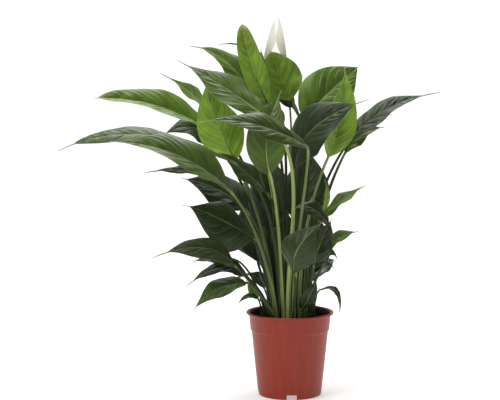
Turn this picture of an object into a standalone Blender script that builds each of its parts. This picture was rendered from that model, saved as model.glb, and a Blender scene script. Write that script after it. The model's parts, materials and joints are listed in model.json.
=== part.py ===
"""Potted peace lily: a nursery pot, its soil, and each leaf and flower as a piece of its own.

Units are metres and +Z is up. The front is -Y, and the origin is the middle of the pot's foot.
Run it with: blender --background --python part.py
"""
import math
from collections import namedtuple

import bmesh
import bpy
from mathutils import Vector
from mathutils.bvhtree import BVHTree

# ---- Driving dimensions --------------------------------------------------------------------
MM = 0.001
TOUCH = 0.3 * MM             # the gap that two touching pieces keep

RIM_RADIUS = 86.5 * MM       # a 17 cm nursery pot: these measure 17 to 17.5 cm over the rim
POT_HEIGHT = 166 * MM
WALL = 1.6 * MM
FOOT_RADIUS = 62.5 * MM
FOOT_RISE = 10.5 * MM        # the base plate stands this far above the floor
PAD_RADIUS = 18 * MM         # the low pad in the middle of the base
COLLAR_DROP = 38 * MM        # from the rim's top down to the collar's lower ledge
LEDGE = POT_HEIGHT - COLLAR_DROP
WALL_TOP_RADIUS = 75.8 * MM  # the tapered wall just under the ledge
COLLAR_RADIUS = 78 * MM      # the collar just over the ledge
COLLAR_TOP_RADIUS = 80.6 * MM
POT_SIDES = 48
SOIL_SIDES = 32
NOTCHES = 4
NOTCH_WIDTH = 20 * MM
NOTCH_TURN = math.radians(2.5)   # the front notch sits a little to the right
NOTCH_DEPTH = 14 * MM
DRAIN_HOLES = 8
DRAIN_RADIUS = 5 * MM
DRAIN_CIRCLE = 40 * MM       # radius of the circle that the drain holes lie on
PLATE_TOP = FOOT_RISE + WALL

SOIL_DROP = 16 * MM          # the soil's surface lies this far below the rim
SOIL_TOP = POT_HEIGHT - SOIL_DROP
ROOT_DEPTH = 14 * MM         # how deep each stalk stands in the soil
ROOT_REACH = 57 * MM         # the furthest a stalk stands from the pot's axis
FAN_DEPTH = 90 * MM          # the stalks fan out as if from a point this far below the soil
SPACING = 11.5 * MM          # between the middles of two stalks in the soil
CLEAR = 1.5 * MM             # a stalk is bowed until it passes the other leaves by this much

BLADE = 0.8 * MM             # thickness of a leaf's blade
DRIP_TIP = 0.9 * MM          # half width of the thread that a blade ends in
WIDEST = 0.40                # where along it a blade is widest
ROUND_BASE = 0.65            # the lower, the rounder a blade begins
UP = Vector((0, 0, 1))

# ---- Leaves --------------------------------------------------------------------------------
# collar is where the stalk turns into the blade; middle and tip are points on the midrib.
# faces is the way the upper side looks, half way along the blade. fold lifts both halves
# into a V, curl turns the margins down, and twist turns the blade from collar to tip, all in
# degrees. tail is the share of the blade's length that is drawn out into a thin tip, and neck
# is the share of the stalk's height over which it bends over into the blade. taper is how
# hollow the blade's sides are towards the tip: under 1 they are round and over 1 drawn in.
Leaf = namedtuple("Leaf", "name collar middle tip width faces fold curl ripple twist tail stalk "
                  "rings neck taper")


def leaf(name, collar, middle, tip, width, faces, fold=18, curl=28, ripple=4, twist=0,
         tail=0.05, stalk=3.0, rings=10, neck=0.30, taper=1.3):
    """One row of the table: places in metres, width in millimetres, angles in degrees."""
    return Leaf(name, Vector(collar), Vector(middle), Vector(tip), width * MM, Vector(faces),
                math.radians(fold), math.radians(curl), ripple * MM, math.radians(twist),
                tail, stalk * MM, rings, neck, taper)


LEAVES = [
    # The tall ones at the top left.
    leaf("leaf_top_1", (-0.147, 0.030, 0.505), (-0.249, 0.000, 0.568), (-0.381, -0.020, 0.588),
         76, (-0.1, -0.55, 0.83), fold=34, curl=22, twist=-20, tail=0.03, rings=11, taper=0.7),
    leaf("leaf_top_2", (-0.155, 0.080, 0.552), (-0.203, 0.080, 0.600), (-0.258, 0.070, 0.634),
         52, (0.45, 0.50, 0.72), tail=0.14, rings=8),
    leaf("leaf_top_3", (-0.048, -0.085, 0.553), (-0.132, -0.080, 0.613), (-0.218, -0.070, 0.662),
         82, (0.25, -0.62, 0.74), fold=12, curl=22, tail=0.10, stalk=3.5, rings=11),
    leaf("leaf_top_4", (-0.075, 0.035, 0.598), (-0.133, 0.020, 0.664), (-0.196, 0.010, 0.688),
         70, (0.30, -0.60, 0.74), tail=0.12, rings=9),
    leaf("leaf_top_5", (-0.106, -0.020, 0.465), (-0.146, -0.035, 0.547), (-0.165, -0.045, 0.620),
         92, (-0.15, -0.97, 0.15), fold=-20, curl=-6, taper=1.1),
    leaf("leaf_top_6", (-0.046, 0.008, 0.578), (-0.079, 0.000, 0.662), (-0.094, 0.000, 0.732),
         50, (0.10, -0.99, 0.10), fold=22, curl=10, ripple=2, tail=0.02, rings=9, taper=0.45),
    leaf("leaf_top_7", (-0.051, 0.055, 0.545), (-0.055, 0.065, 0.616), (-0.057, 0.060, 0.686),
         56, (0.10, -0.95, 0.25), tail=0.04, rings=8),
    leaf("leaf_top_8", (-0.052, 0.095, 0.650), (-0.090, 0.095, 0.686), (-0.143, 0.095, 0.691),
         42, (0.05, 0.10, 1.00), tail=0.14, rings=7),
    # The long ones at the left.
    leaf("leaf_left_1", (-0.118, -0.130, 0.419), (-0.218, -0.170, 0.489), (-0.338, -0.170, 0.513),
         100, (0.15, -0.52, 0.84), fold=30, curl=26, rings=11),
    leaf("leaf_left_2", (-0.121, -0.075, 0.472), (-0.292, -0.095, 0.521), (-0.443, -0.100, 0.491),
         74, (0.00, -0.30, 0.95), fold=18, curl=36, twist=-50, tail=0.10, rings=11, taper=0.7),
    leaf("leaf_left_3", (-0.048, -0.030, 0.406), (-0.092, -0.042, 0.449), (-0.145, -0.048, 0.488),
         56, (0.30, -0.60, 0.74), rings=8),
    leaf("leaf_left_4", (-0.135, 0.070, 0.481), (-0.190, 0.070, 0.525), (-0.254, 0.060, 0.510),
         74, (0.00, -0.60, 0.80), rings=8),
    leaf("leaf_left_5", (-0.141, -0.045, 0.428), (-0.200, -0.055, 0.450), (-0.282, -0.060, 0.446),
         38, (0.00, -0.50, 0.87), tail=0.14, rings=8),
    leaf("leaf_left_6", (-0.087, 0.000, 0.367), (-0.140, 0.010, 0.405), (-0.213, 0.010, 0.429),
         80, (0.20, -0.80, 0.56), rings=9),
    leaf("leaf_left_7", (-0.072, -0.052, 0.319), (-0.155, -0.096, 0.369), (-0.208, -0.108, 0.388),
         112, (-0.20, -0.75, 0.62), fold=-8, curl=22, tail=0.08, rings=11),
    # The low ones at the left.
    leaf("leaf_low_1", (-0.109, -0.107, 0.274), (-0.173, -0.138, 0.310), (-0.264, -0.148, 0.292),
         64, (0.00, -0.66, 0.75), curl=34, tail=0.16, rings=9),
    leaf("leaf_low_2", (-0.112, -0.060, 0.278), (-0.150, -0.070, 0.281), (-0.189, -0.080, 0.276),
         30, (0.00, -0.70, 0.70), rings=6, stalk=2.2),
    leaf("leaf_low_3", (-0.085, -0.050, 0.243), (-0.133, -0.070, 0.264), (-0.202, -0.080, 0.228),
         42, (0.00, -0.55, 0.83), twist=35, tail=0.10, rings=9, stalk=2.4),
    leaf("leaf_low_4", (-0.085, -0.090, 0.236), (-0.138, -0.120, 0.230), (-0.188, -0.130, 0.188),
         46, (-0.20, -0.75, 0.62), twist=-15, rings=9, stalk=2.4),
    leaf("leaf_low_5", (-0.058, -0.035, 0.193), (-0.080, -0.048, 0.204), (-0.102, -0.060, 0.191),
         19, (0.00, -0.50, 0.87), ripple=1, rings=6, stalk=1.8),
    leaf("leaf_low_6", (-0.063, -0.005, 0.191), (-0.075, -0.010, 0.212), (-0.087, -0.010, 0.230),
         22, (0.20, -0.90, 0.30), ripple=1, rings=6, stalk=1.8),
    # The middle.
    leaf("leaf_front_1", (0.029, -0.128, 0.500), (-0.074, -0.180, 0.546), (-0.171, -0.200, 0.550),
         80, (0.10, -0.55, 0.83), fold=20, curl=34, rings=11, neck=0.05, taper=1.6),
    leaf("leaf_front_2", (-0.040, -0.055, 0.442), (-0.046, -0.060, 0.520), (-0.018, -0.035, 0.603),
         80, (0.05, -0.97, 0.22), fold=16, curl=10),
    leaf("leaf_front_3", (0.076, -0.020, 0.340), (0.038, -0.028, 0.375), (0.003, -0.028, 0.370),
         42, (0.00, -0.60, 0.80), rings=7, stalk=2.4),
    leaf("leaf_front_4", (-0.053, 0.015, 0.281), (-0.071, 0.025, 0.324), (-0.087, 0.025, 0.372),
         44, (0.10, -0.90, 0.40), rings=7, stalk=2.4),
    leaf("leaf_front_5", (0.005, -0.100, 0.256), (0.012, -0.130, 0.308), (0.059, -0.120, 0.357),
         78, (-0.10, -0.92, 0.38), fold=-18, curl=8),
    leaf("leaf_front_6", (0.045, -0.060, 0.268), (0.058, -0.070, 0.312), (0.080, -0.070, 0.359),
         50, (0.20, -0.90, 0.38), rings=8, stalk=2.4),
    # The right.
    leaf("leaf_right_1", (0.005, 0.090, 0.580), (-0.019, 0.095, 0.626), (-0.039, 0.090, 0.680),
         88, (0.15, -0.95, 0.25), fold=26, curl=14, tail=0.04, taper=0.65),
    leaf("leaf_right_2", (0.009, 0.110, 0.564), (-0.017, 0.115, 0.598), (-0.045, 0.115, 0.636),
         46, (0.30, -0.80, 0.50), rings=7),
    leaf("leaf_right_3", (0.030, 0.035, 0.541), (0.069, 0.060, 0.588), (0.144, 0.105, 0.650),
         108, (0.38, -0.80, 0.46), fold=16, curl=26, rings=11, taper=1.0),
    leaf("leaf_right_4", (0.008, 0.010, 0.451), (0.046, -0.012, 0.529), (0.149, -0.060, 0.587),
         110, (-0.30, -0.74, 0.60), fold=10, curl=20, tail=0.12, rings=11),
    leaf("leaf_right_5", (0.075, 0.014, 0.470), (0.101, 0.012, 0.557), (0.107, 0.010, 0.649),
         68, (0.30, -0.95, 0.10), fold=22, curl=12),
    leaf("leaf_right_6", (0.120, 0.060, 0.500), (0.193, 0.060, 0.563), (0.298, 0.050, 0.597),
         62, (-0.35, -0.55, 0.76), fold=22, curl=30, tail=0.15, rings=11),
    leaf("leaf_right_7", (0.123, 0.125, 0.487), (0.162, 0.125, 0.530), (0.208, 0.115, 0.550),
         42, (-0.40, -0.10, 0.90), rings=7, stalk=2.4),
    leaf("leaf_right_8", (0.113, 0.092, 0.473), (0.147, 0.092, 0.511), (0.191, 0.090, 0.525),
         40, (-0.30, -0.70, 0.65), rings=8, stalk=2.6),
    leaf("leaf_right_9", (0.063, 0.005, 0.352), (0.104, 0.000, 0.389), (0.148, 0.000, 0.416),
         40, (-0.35, -0.45, 0.82), rings=8, stalk=2.4),
    # The low ones at the right.
    leaf("leaf_low_7", (0.066, 0.042, 0.353), (0.074, 0.042, 0.393), (0.070, 0.042, 0.425),
         20, (0.80, -0.60, 0.10), ripple=1, rings=6, stalk=1.8),
    leaf("leaf_low_8", (0.055, -0.040, 0.285), (0.092, -0.050, 0.318), (0.131, -0.060, 0.332),
         38, (-0.30, -0.60, 0.74), rings=8, stalk=2.4),
    leaf("leaf_low_9", (0.043, 0.022, 0.252), (0.073, 0.027, 0.280), (0.096, 0.030, 0.266),
         36, (0.10, -0.80, 0.58), rings=7, stalk=2.2),
    leaf("leaf_low_10", (0.040, 0.050, 0.229), (0.066, 0.055, 0.253), (0.092, 0.060, 0.243),
         24, (0.00, -0.50, 0.87), ripple=1, rings=6, stalk=1.8),
    leaf("leaf_low_11", (0.022, -0.045, 0.178), (0.038, -0.055, 0.207), (0.052, -0.050, 0.237),
         38, (0.50, -0.84, 0.20), ripple=2, rings=7, stalk=2.2),
    leaf("leaf_low_12", (0.063, 0.030, 0.205), (0.092, 0.020, 0.203), (0.100, 0.010, 0.160),
         16, (0.40, -0.50, 0.77), ripple=1, rings=7, stalk=1.8),
    # The back, which is as full as the front.
    leaf("leaf_back_1", (-0.079, 0.132, 0.348), (-0.128, 0.197, 0.393), (-0.191, 0.267, 0.393),
         74, (-0.30, 0.10, 0.95), rings=9),
    leaf("leaf_back_2", (0.030, 0.120, 0.320), (0.037, 0.145, 0.400), (0.038, 0.178, 0.490),
         104, (0.12, -0.92, 0.36), rings=9),
    leaf("leaf_back_3", (0.024, 0.085, 0.225), (0.040, 0.108, 0.300), (0.047, 0.132, 0.380),
         92, (0.12, -0.92, 0.35), rings=9),
    leaf("leaf_back_4", (-0.060, 0.110, 0.250), (-0.102, 0.175, 0.298), (-0.155, 0.235, 0.313),
         70, (-0.30, 0.20, 0.93), rings=8),
    leaf("leaf_back_5", (-0.010, 0.060, 0.200), (-0.006, 0.078, 0.280), (-0.006, 0.105, 0.368),
         90, (0.00, -0.95, 0.28), rings=9),
    leaf("leaf_back_6", (-0.034, 0.130, 0.500), (-0.052, 0.180, 0.565), (-0.079, 0.240, 0.600),
         80, (0.20, -0.30, 0.93), rings=9),
    leaf("leaf_back_7", (0.042, 0.075, 0.212), (0.068, 0.135, 0.245), (0.103, 0.195, 0.240),
         58, (0.10, -0.20, 0.97), rings=8),
    leaf("leaf_back_8", (-0.050, 0.080, 0.200), (-0.080, 0.120, 0.222), (-0.120, 0.150, 0.195),
         44, (-0.30, 0.30, 0.90), rings=7, stalk=2.2),
    leaf("leaf_back_9", (-0.063, 0.080, 0.253), (-0.071, 0.103, 0.331), (-0.079, 0.130, 0.407),
         80, (-0.10, -0.94, 0.33), rings=9),
    leaf("leaf_back_10", (-0.030, 0.130, 0.315), (-0.036, 0.153, 0.392), (-0.044, 0.182, 0.480),
         96, (0.05, -0.94, 0.34), rings=9),
]

# ---- Flowers -------------------------------------------------------------------------------
# base is where the stalk ends and hood and spike begin; tip is the hood's point.
Flower = namedtuple("Flower", "name base tip faces width")
FLOWERS = [
    Flower("flower_left", Vector((-0.046, 0.115, 0.664)), Vector((-0.024, 0.115, 0.751)),
           Vector((0.85, 0.45, 0.20)), 34 * MM),
    Flower("flower_right", Vector((-0.009, 0.135, 0.659)), Vector((-0.025, 0.136, 0.759)),
           Vector((-0.85, 0.45, 0.20)), 36 * MM),
]
FLOWER_STALK = 2.3 * MM      # radius
SPIKE_RADIUS = 4.0 * MM
SPIKE_LENGTH = 42 * MM
HOOD_BEND = (math.radians(42), math.radians(-12))  # its halves fold up and its margins curl in


def clear_scene():
    """Start from nothing, whatever file the script is run from."""
    for obj in list(bpy.data.objects):
        bpy.data.objects.remove(obj, do_unlink=True)


def collection(name):
    """A new collection in the scene."""
    made = bpy.data.collections.new(name)
    bpy.context.scene.collection.children.link(made)
    return made


def material(name, rgb, roughness):
    """A plain finish: colour in linear RGB and roughness."""
    made = bpy.data.materials.new(name)
    made.use_nodes = True
    shader = made.node_tree.nodes["Principled BSDF"]
    shader.inputs["Base Color"].default_value = (*rgb, 1)
    shader.inputs["Roughness"].default_value = roughness
    shader.inputs["Metallic"].default_value = 0
    return made


def add_object(name, data, finish, group):
    """Put a mesh or curve in the scene as one named object."""
    obj = bpy.data.objects.new(name, data)
    group.objects.link(obj)
    obj.data.materials.append(finish)
    return obj


# ---- Pot and soil --------------------------------------------------------------------------
def wall_radius(z):
    """Radius of the pot's outer wall at a height, between its foot and its collar."""
    return FOOT_RADIUS + (WALL_TOP_RADIUS - FOOT_RADIUS) * z / LEDGE


def turned(name, profile, sides, finish, group):
    """A closed solid of revolution from (radius, height) points that start and end on the axis."""
    mesh = bpy.data.meshes.new(name)
    edges = [(i, i + 1) for i in range(len(profile) - 1)]
    mesh.from_pydata([(r, 0, z) for r, z in profile], edges, [])
    obj = add_object(name, mesh, finish, group)
    screw = obj.modifiers.new("turn", "SCREW")
    screw.axis = "Z"
    screw.steps = screw.render_steps = sides
    screw.use_merge_vertices = True
    screw.merge_threshold = 0.05 * MM
    screw.use_normal_calculate = True
    screw.use_smooth_shade = False
    return obj


def pot_profile():
    """The pot's section: pad, base, foot, wall, collar, rim, and back down the inside."""
    foot_inside = FOOT_RADIUS - 6 * MM
    return [
        (0, 0), (PAD_RADIUS, 0), (PAD_RADIUS + 1 * MM, FOOT_RISE),
        (foot_inside, FOOT_RISE), (foot_inside + 1 * MM, 0),
        (FOOT_RADIUS - 2.5 * MM, 0), (FOOT_RADIUS - 0.4 * MM, 1.6 * MM),
        (FOOT_RADIUS + 0.3 * MM, 5 * MM),
        (WALL_TOP_RADIUS, LEDGE), (COLLAR_RADIUS, LEDGE + 2.5 * MM),
        (COLLAR_TOP_RADIUS, POT_HEIGHT - 5.5 * MM), (RIM_RADIUS - 1.5 * MM, POT_HEIGHT - 4.5 * MM),
        (RIM_RADIUS, POT_HEIGHT - 3 * MM), (RIM_RADIUS - 0.4 * MM, POT_HEIGHT - 0.6 * MM),
        (RIM_RADIUS - 2 * MM, POT_HEIGHT), (RIM_RADIUS - 5.5 * MM, POT_HEIGHT - 0.8 * MM),
        (COLLAR_TOP_RADIUS - WALL, POT_HEIGHT - 4 * MM), (COLLAR_RADIUS - WALL, LEDGE + 2 * MM),
        (WALL_TOP_RADIUS - WALL, LEDGE - 1 * MM),
        (wall_radius(PLATE_TOP + 3 * MM) - WALL, PLATE_TOP + 3 * MM),
        (wall_radius(PLATE_TOP) - WALL - 3 * MM, PLATE_TOP), (0, PLATE_TOP),
    ]


def notch_cutters(group, finish):
    """Blocks and pegs that cut the drain notches in the foot and the drain holes in the base."""
    for k in range(NOTCHES):
        turn = 2 * math.pi * k / NOTCHES - math.pi / 2 + NOTCH_TURN
        bpy.ops.mesh.primitive_cube_add(size=1, rotation=(0, 0, turn))
        block = bpy.context.object
        block.name = f"notch_{k}"
        block.scale = (NOTCH_DEPTH, NOTCH_WIDTH, 2 * (FOOT_RISE - 0.4 * MM))
        block.location = Vector((math.cos(turn), math.sin(turn), 0)) * (FOOT_RADIUS - 1 * MM)
        move_to(block, group)
    for k in range(DRAIN_HOLES):
        turn = 2 * math.pi * (k + 0.5) / DRAIN_HOLES
        place = (DRAIN_CIRCLE * math.cos(turn), DRAIN_CIRCLE * math.sin(turn), FOOT_RISE)
        bpy.ops.mesh.primitive_cylinder_add(vertices=8, radius=DRAIN_RADIUS, depth=8 * MM,
                                            location=place)
        peg = bpy.context.object
        peg.name = f"drain_{k}"
        move_to(peg, group)


def move_to(obj, group):
    """Take an object out of its collections and put it in another."""
    for old in list(obj.users_collection):
        old.objects.unlink(obj)
    group.objects.link(obj)


def cut(obj, cutters):
    """Take a collection of cutters away from an object."""
    boolean = obj.modifiers.new("cut", "BOOLEAN")
    boolean.operation = "DIFFERENCE"
    boolean.operand_type = "COLLECTION"
    boolean.collection = cutters
    boolean.solver = "EXACT"


def soil_profile():
    """The soil's section: it fills the pot and leaves only the touching gap to its walls."""
    gap = WALL + TOUCH
    bottom = PLATE_TOP + TOUCH
    return [
        (0, bottom), (wall_radius(PLATE_TOP) - gap - 3.2 * MM, bottom),
        (wall_radius(PLATE_TOP + 3 * MM) - gap, PLATE_TOP + 3.2 * MM),
        (WALL_TOP_RADIUS - gap, LEDGE - 0.8 * MM), (COLLAR_RADIUS - gap, LEDGE + 2.2 * MM),
        (COLLAR_RADIUS + 0.9 * MM - gap, SOIL_TOP), (0, SOIL_TOP),
    ]


def root_cutters(places, group):
    """Pegs that cut a plain hole in the soil for each stalk."""
    for k, (x, y, radius) in enumerate(places):
        where = (x, y, SOIL_TOP - ROOT_DEPTH / 2 - TOUCH + 2 * MM)
        corner = (radius + TOUCH) / math.cos(math.pi / 8)
        bpy.ops.mesh.primitive_cylinder_add(vertices=8, radius=corner, depth=ROOT_DEPTH + 4 * MM,
                                            location=where)
        peg = bpy.context.object
        peg.name = f"root_{k}"
        move_to(peg, group)


# ---- Stalks and blades ---------------------------------------------------------------------
def fan_out(collars):
    """Where each stalk stands in the soil: nearly under its blade, and clear of its neighbours."""
    places = []
    for collar in collars:
        out = Vector((collar.x, collar.y, 0))
        lean = out.length / (collar.z - SOIL_TOP)
        reach = ROOT_REACH * math.tanh(FAN_DEPTH * lean / ROOT_REACH)
        places.append(out.normalized() * reach)
    for _ in range(400):
        for i, a in enumerate(places):
            for b in places[i + 1:]:
                gap = b - a
                if gap.length < SPACING:
                    push = gap.normalized() * (SPACING - gap.length) * 0.5
                    a -= push
                    b += push
        for a in places:
            if a.length > ROOT_REACH:
                a *= ROOT_REACH / a.length
    return [Vector((a.x, a.y, SOIL_TOP - ROOT_DEPTH)) for a in places]


def bezier(points, t):
    """A point on the Bezier curve of three or four control points."""
    points = list(points)
    while len(points) > 1:
        points = [a.lerp(b, t) for a, b in zip(points, points[1:])]
    return points[0]


def along(points, count, ease):
    """Points at chosen shares of a Bezier curve's length; ease 1 packs them at both ends."""
    fine = [bezier(points, i / 80) for i in range(81)]
    lengths = [0]
    for a, b in zip(fine, fine[1:]):
        lengths.append(lengths[-1] + (b - a).length)
    shares = []
    for i in range(count + 1):
        even = i / count
        shares.append((1 - ease) * even + ease * (0.5 - 0.5 * math.cos(math.pi * even)))
    out = []
    k = 0
    for share in shares:
        goal = share * lengths[-1]
        while k < 79 and lengths[k + 1] < goal:
            k += 1
        step = lengths[k + 1] - lengths[k]
        out.append(fine[k].lerp(fine[k + 1], (goal - lengths[k]) / step))
    return out, shares


def smooth(t):
    """0 to 1 without corners."""
    t = min(1, max(0, t))
    return t * t * (3 - 2 * t)


def outline(u, tail, taper):
    """Half width of a blade, as a share of its greatest: round at the base, drawn out at the tip."""
    v = u / (1 - tail)
    if v >= 1:
        return 0
    if v < WIDEST:
        return math.sin(math.pi / 2 * v / WIDEST) ** ROUND_BASE
    return math.cos(math.pi / 2 * (v - WIDEST) / (1 - WIDEST)) ** taper


def blade_section(middle, side, normal, half, bend, ripples, ridge):
    """Eight points round a blade: margin, three on top, margin, three below."""
    fold, curl = bend
    points = {}
    for sign, ripple in ((-1, ripples[0]), (1, ripples[1])):
        rise = normal * math.sin(fold)
        quarter = middle + (side * sign * math.cos(fold) + rise) * half * 0.5
        turned_down = fold - curl
        outer = side * sign * math.cos(turned_down) + normal * math.sin(turned_down)
        margin = quarter + outer * half * 0.5
        lean = fold - curl / 2
        under = normal * math.cos(lean) - side * sign * math.sin(lean)
        quarter += normal * ripple * 0.3
        points[sign] = (margin + normal * ripple, quarter, quarter - under * BLADE)
    below = middle - normal * (BLADE + ridge)
    left, right = points[-1], points[1]
    return [left[0], left[1], middle, right[1], right[0], right[2], below, left[2]]


def stalk_section(middle, side, normal, radius):
    """Eight points round a stalk, in the order of a blade's section."""
    ring = []
    for k in range(8):
        turn = math.pi - k * math.pi / 4
        ring.append(middle + (side * math.cos(turn) + normal * math.sin(turn)) * radius)
    return ring


def carried_frames(points, start, faces):
    """Side and normal at each point, carried along the curve with as little turning as can be."""
    tangents = []
    for i in range(len(points)):
        ahead = points[min(i + 1, len(points) - 1)]
        behind = points[max(i - 1, 0)]
        tangents.append((ahead - behind).normalized())
    normals = [None] * len(points)
    first = faces - tangents[start] * faces.dot(tangents[start])
    normals[start] = first.normalized()
    for i in range(start + 1, len(points)):
        turn = tangents[i - 1].rotation_difference(tangents[i])
        normals[i] = (turn @ normals[i - 1]).normalized()
    for i in range(start - 1, -1, -1):
        turn = tangents[i + 1].rotation_difference(tangents[i])
        normals[i] = (turn @ normals[i + 1]).normalized()
    return [(t, t.cross(n), n) for t, n in zip(tangents, normals)]


def blade_bend(row):
    """The control point that makes a blade's curve pass through its middle."""
    return row.middle * 2 - (row.collar + row.tip) / 2


def blade_rings(row, number):
    """The sections of one blade from its collar to its drawn-out tip, and the tip."""
    points, shares = along([row.collar, blade_bend(row), row.tip], row.rings, 0.45)
    frames = carried_frames(points, row.rings // 2, row.faces)
    rings = []
    for middle, u, (_, side, normal) in zip(points, shares, frames):
        turn = row.twist * (u - 0.5)
        side, normal = (side * math.cos(turn) - normal * math.sin(turn),
                        normal * math.cos(turn) + side * math.sin(turn))
        size = outline(u, row.tail, row.taper)
        half = max(row.width / 2 * size, DRIP_TIP)
        phase = 2.4 * number + 11 * u
        ripples = (row.ripple * size * math.sin(phase), row.ripple * size * math.sin(phase * 1.13 + 2))
        ridge = 0.3 * MM + row.stalk * 0.6 * (1 - u)
        flat = blade_section(middle, side, normal, half, (row.fold, row.curl), ripples, ridge)
        round_share = 1 - smooth(u / 0.08)
        if round_share > 0:
            full = stalk_section(middle, side, normal, row.stalk * 0.8)
            flat = [a.lerp(b, round_share) for a, b in zip(flat, full)]
        rings.append(flat)
    return rings, points[-1] + frames[-1][0] * 1.5 * MM


def stalk_path(row, root, push, count):
    """Points from the foot of a stalk up to its collar; push bows it to one side."""
    foot = root + UP * (ROOT_DEPTH + 2 * MM)
    rise = row.collar.z - foot.z
    start = (blade_bend(row) - row.collar).normalized()
    neck = row.collar - start * rise * row.neck
    handles = [foot, foot + UP * rise * 0.36 + push, neck + push * 0.6, row.collar]
    return [root] + along(handles, count, 0.0)[0]


def stalk_rings(row, root, push):
    """The sections of one stalk from its foot in the soil to just under its collar."""
    points = stalk_path(row, root, push, 4 if row.collar.z - SOIL_TOP > 0.14 else 3)
    up_blade = row.collar + (blade_bend(row) - row.collar).normalized() * 5 * MM
    frames = carried_frames(points + [up_blade], len(points), row.faces)
    rings = []
    for i, (middle, (_, side, normal)) in enumerate(zip(points[:-1], frames)):
        share = max(0, i - 1) / (len(points) - 2)
        rings.append(stalk_section(middle, side, normal, row.stalk * (1.25 - 0.45 * share)))
    return rings


def tree_of(rings):
    """A search tree over the surface of a loft, to measure how near something comes to it."""
    verts = [p for ring in rings for p in ring]
    faces = []
    for i in range(len(rings) - 1):
        for k in range(8):
            n = (k + 1) % 8
            faces.append((8 * i + k, 8 * i + n, 8 * i + 8 + n, 8 * i + 8 + k))
    return BVHTree.FromPolygons(verts, faces)


def clearance(row, root, push, others):
    """How far a stalk's skin stays from all other leaves, in metres, up to CLEAR."""
    room = CLEAR
    for point in stalk_path(row, root, push, 30)[1:-2]:
        for tree in others:
            near = tree.find_nearest(point, CLEAR + row.stalk * 1.25)
            if near[3] is not None:
                room = min(room, near[3] - row.stalk * 1.25)
    return room


def bent_clear(row, root, others):
    """The smallest sideways bow that takes a stalk clear of the leaves around it."""
    pushes = [Vector((0, 0, 0))]
    for size in (8, 16, 26, 38):
        for k in range(12):
            turn = math.pi * k / 6
            pushes.append(Vector((math.cos(turn), math.sin(turn), 0)) * size * MM)
    best = None
    for push in pushes:
        room = clearance(row, root, push, others)
        if best is None or room > best[0] + 0.01 * MM:
            best = (room, push)
        if room >= CLEAR * 0.999:
            break
    return best[1]


def loft(name, rings, tip, finish, group):
    """One closed solid through eight-point rings, with both faces of a blade split alike."""
    mesh = bmesh.new()
    verts = [[mesh.verts.new(p) for p in ring] for ring in rings]
    for a, b in zip(verts, verts[1:]):
        for k in range(8):
            n = (k + 1) % 8
            if k < 4:
                mesh.faces.new((a[k], a[n], b[n]))
                mesh.faces.new((a[k], b[n], b[k]))
            else:
                mesh.faces.new((a[k], a[n], b[k]))
                mesh.faces.new((a[n], b[n], b[k]))
    for k in range(1, 7):
        mesh.faces.new((verts[0][0], verts[0][k + 1], verts[0][k]))
    end = mesh.verts.new(tip)
    for k in range(8):
        mesh.faces.new((verts[-1][k], verts[-1][(k + 1) % 8], end))
    bmesh.ops.recalc_face_normals(mesh, faces=mesh.faces)
    data = bpy.data.meshes.new(name)
    mesh.to_mesh(data)
    mesh.free()
    return add_object(name, data, finish, group)


# ---- Flowers -------------------------------------------------------------------------------
def flower_path(flower, root):
    """Points up a flower's stalk, from its foot in the soil to the flower."""
    rise = flower.base.z - root.z
    aim = (flower.tip - flower.base).normalized()
    foot = root + UP * (ROOT_DEPTH + 2 * MM)
    handles = [foot, foot + UP * rise * 0.4, flower.base - aim * rise * 0.3, flower.base]
    return [root] + along(handles, 6, 0.0)[0]


def flower_stalk(flower, root, finish, group):
    """A thin round stalk from the soil to the flower, as a curve with a round bevel."""
    points = flower_path(flower, root)
    curve = bpy.data.curves.new(flower.name + "_stalk", "CURVE")
    curve.dimensions = "3D"
    curve.bevel_depth = FLOWER_STALK
    curve.bevel_resolution = 2
    curve.use_fill_caps = True
    spline = curve.splines.new("POLY")
    spline.points.add(len(points) - 1)
    for point, place in zip(spline.points, points):
        point.co = (*place, 1)
    return add_object(curve.name, curve, finish, group)


def flower_hood(flower, finish, group):
    """The white hood: one cupped blade that rises from beside the stalk's end."""
    aim = (flower.tip - flower.base).normalized()
    back = -(flower.faces - aim * flower.faces.dot(aim)).normalized()
    foot = flower.base + back * (FLOWER_STALK + TOUCH + 2.4 * MM) - aim * 2 * MM
    middle = flower.base.lerp(flower.tip, 0.5) + back * 7 * MM
    points, shares = along([foot, middle * 2 - (foot + flower.tip) / 2, flower.tip], 10, 0.4)
    frames = carried_frames(points, 5, flower.faces)
    rings = []
    for point, u, (_, side, normal) in zip(points, shares, frames):
        half = max(flower.width / 2 * outline(u, 0.10, 1.3), 0.8 * MM)
        ring = blade_section(point, side, normal, half, HOOD_BEND, (0, 0), 0.2 * MM)
        if u == 0:
            ring = stalk_section(point, side, normal, 0.9 * MM)
        rings.append(ring)
    return loft(flower.name + "_spathe", rings, flower.tip + aim * 1.5 * MM, finish, group)


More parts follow.
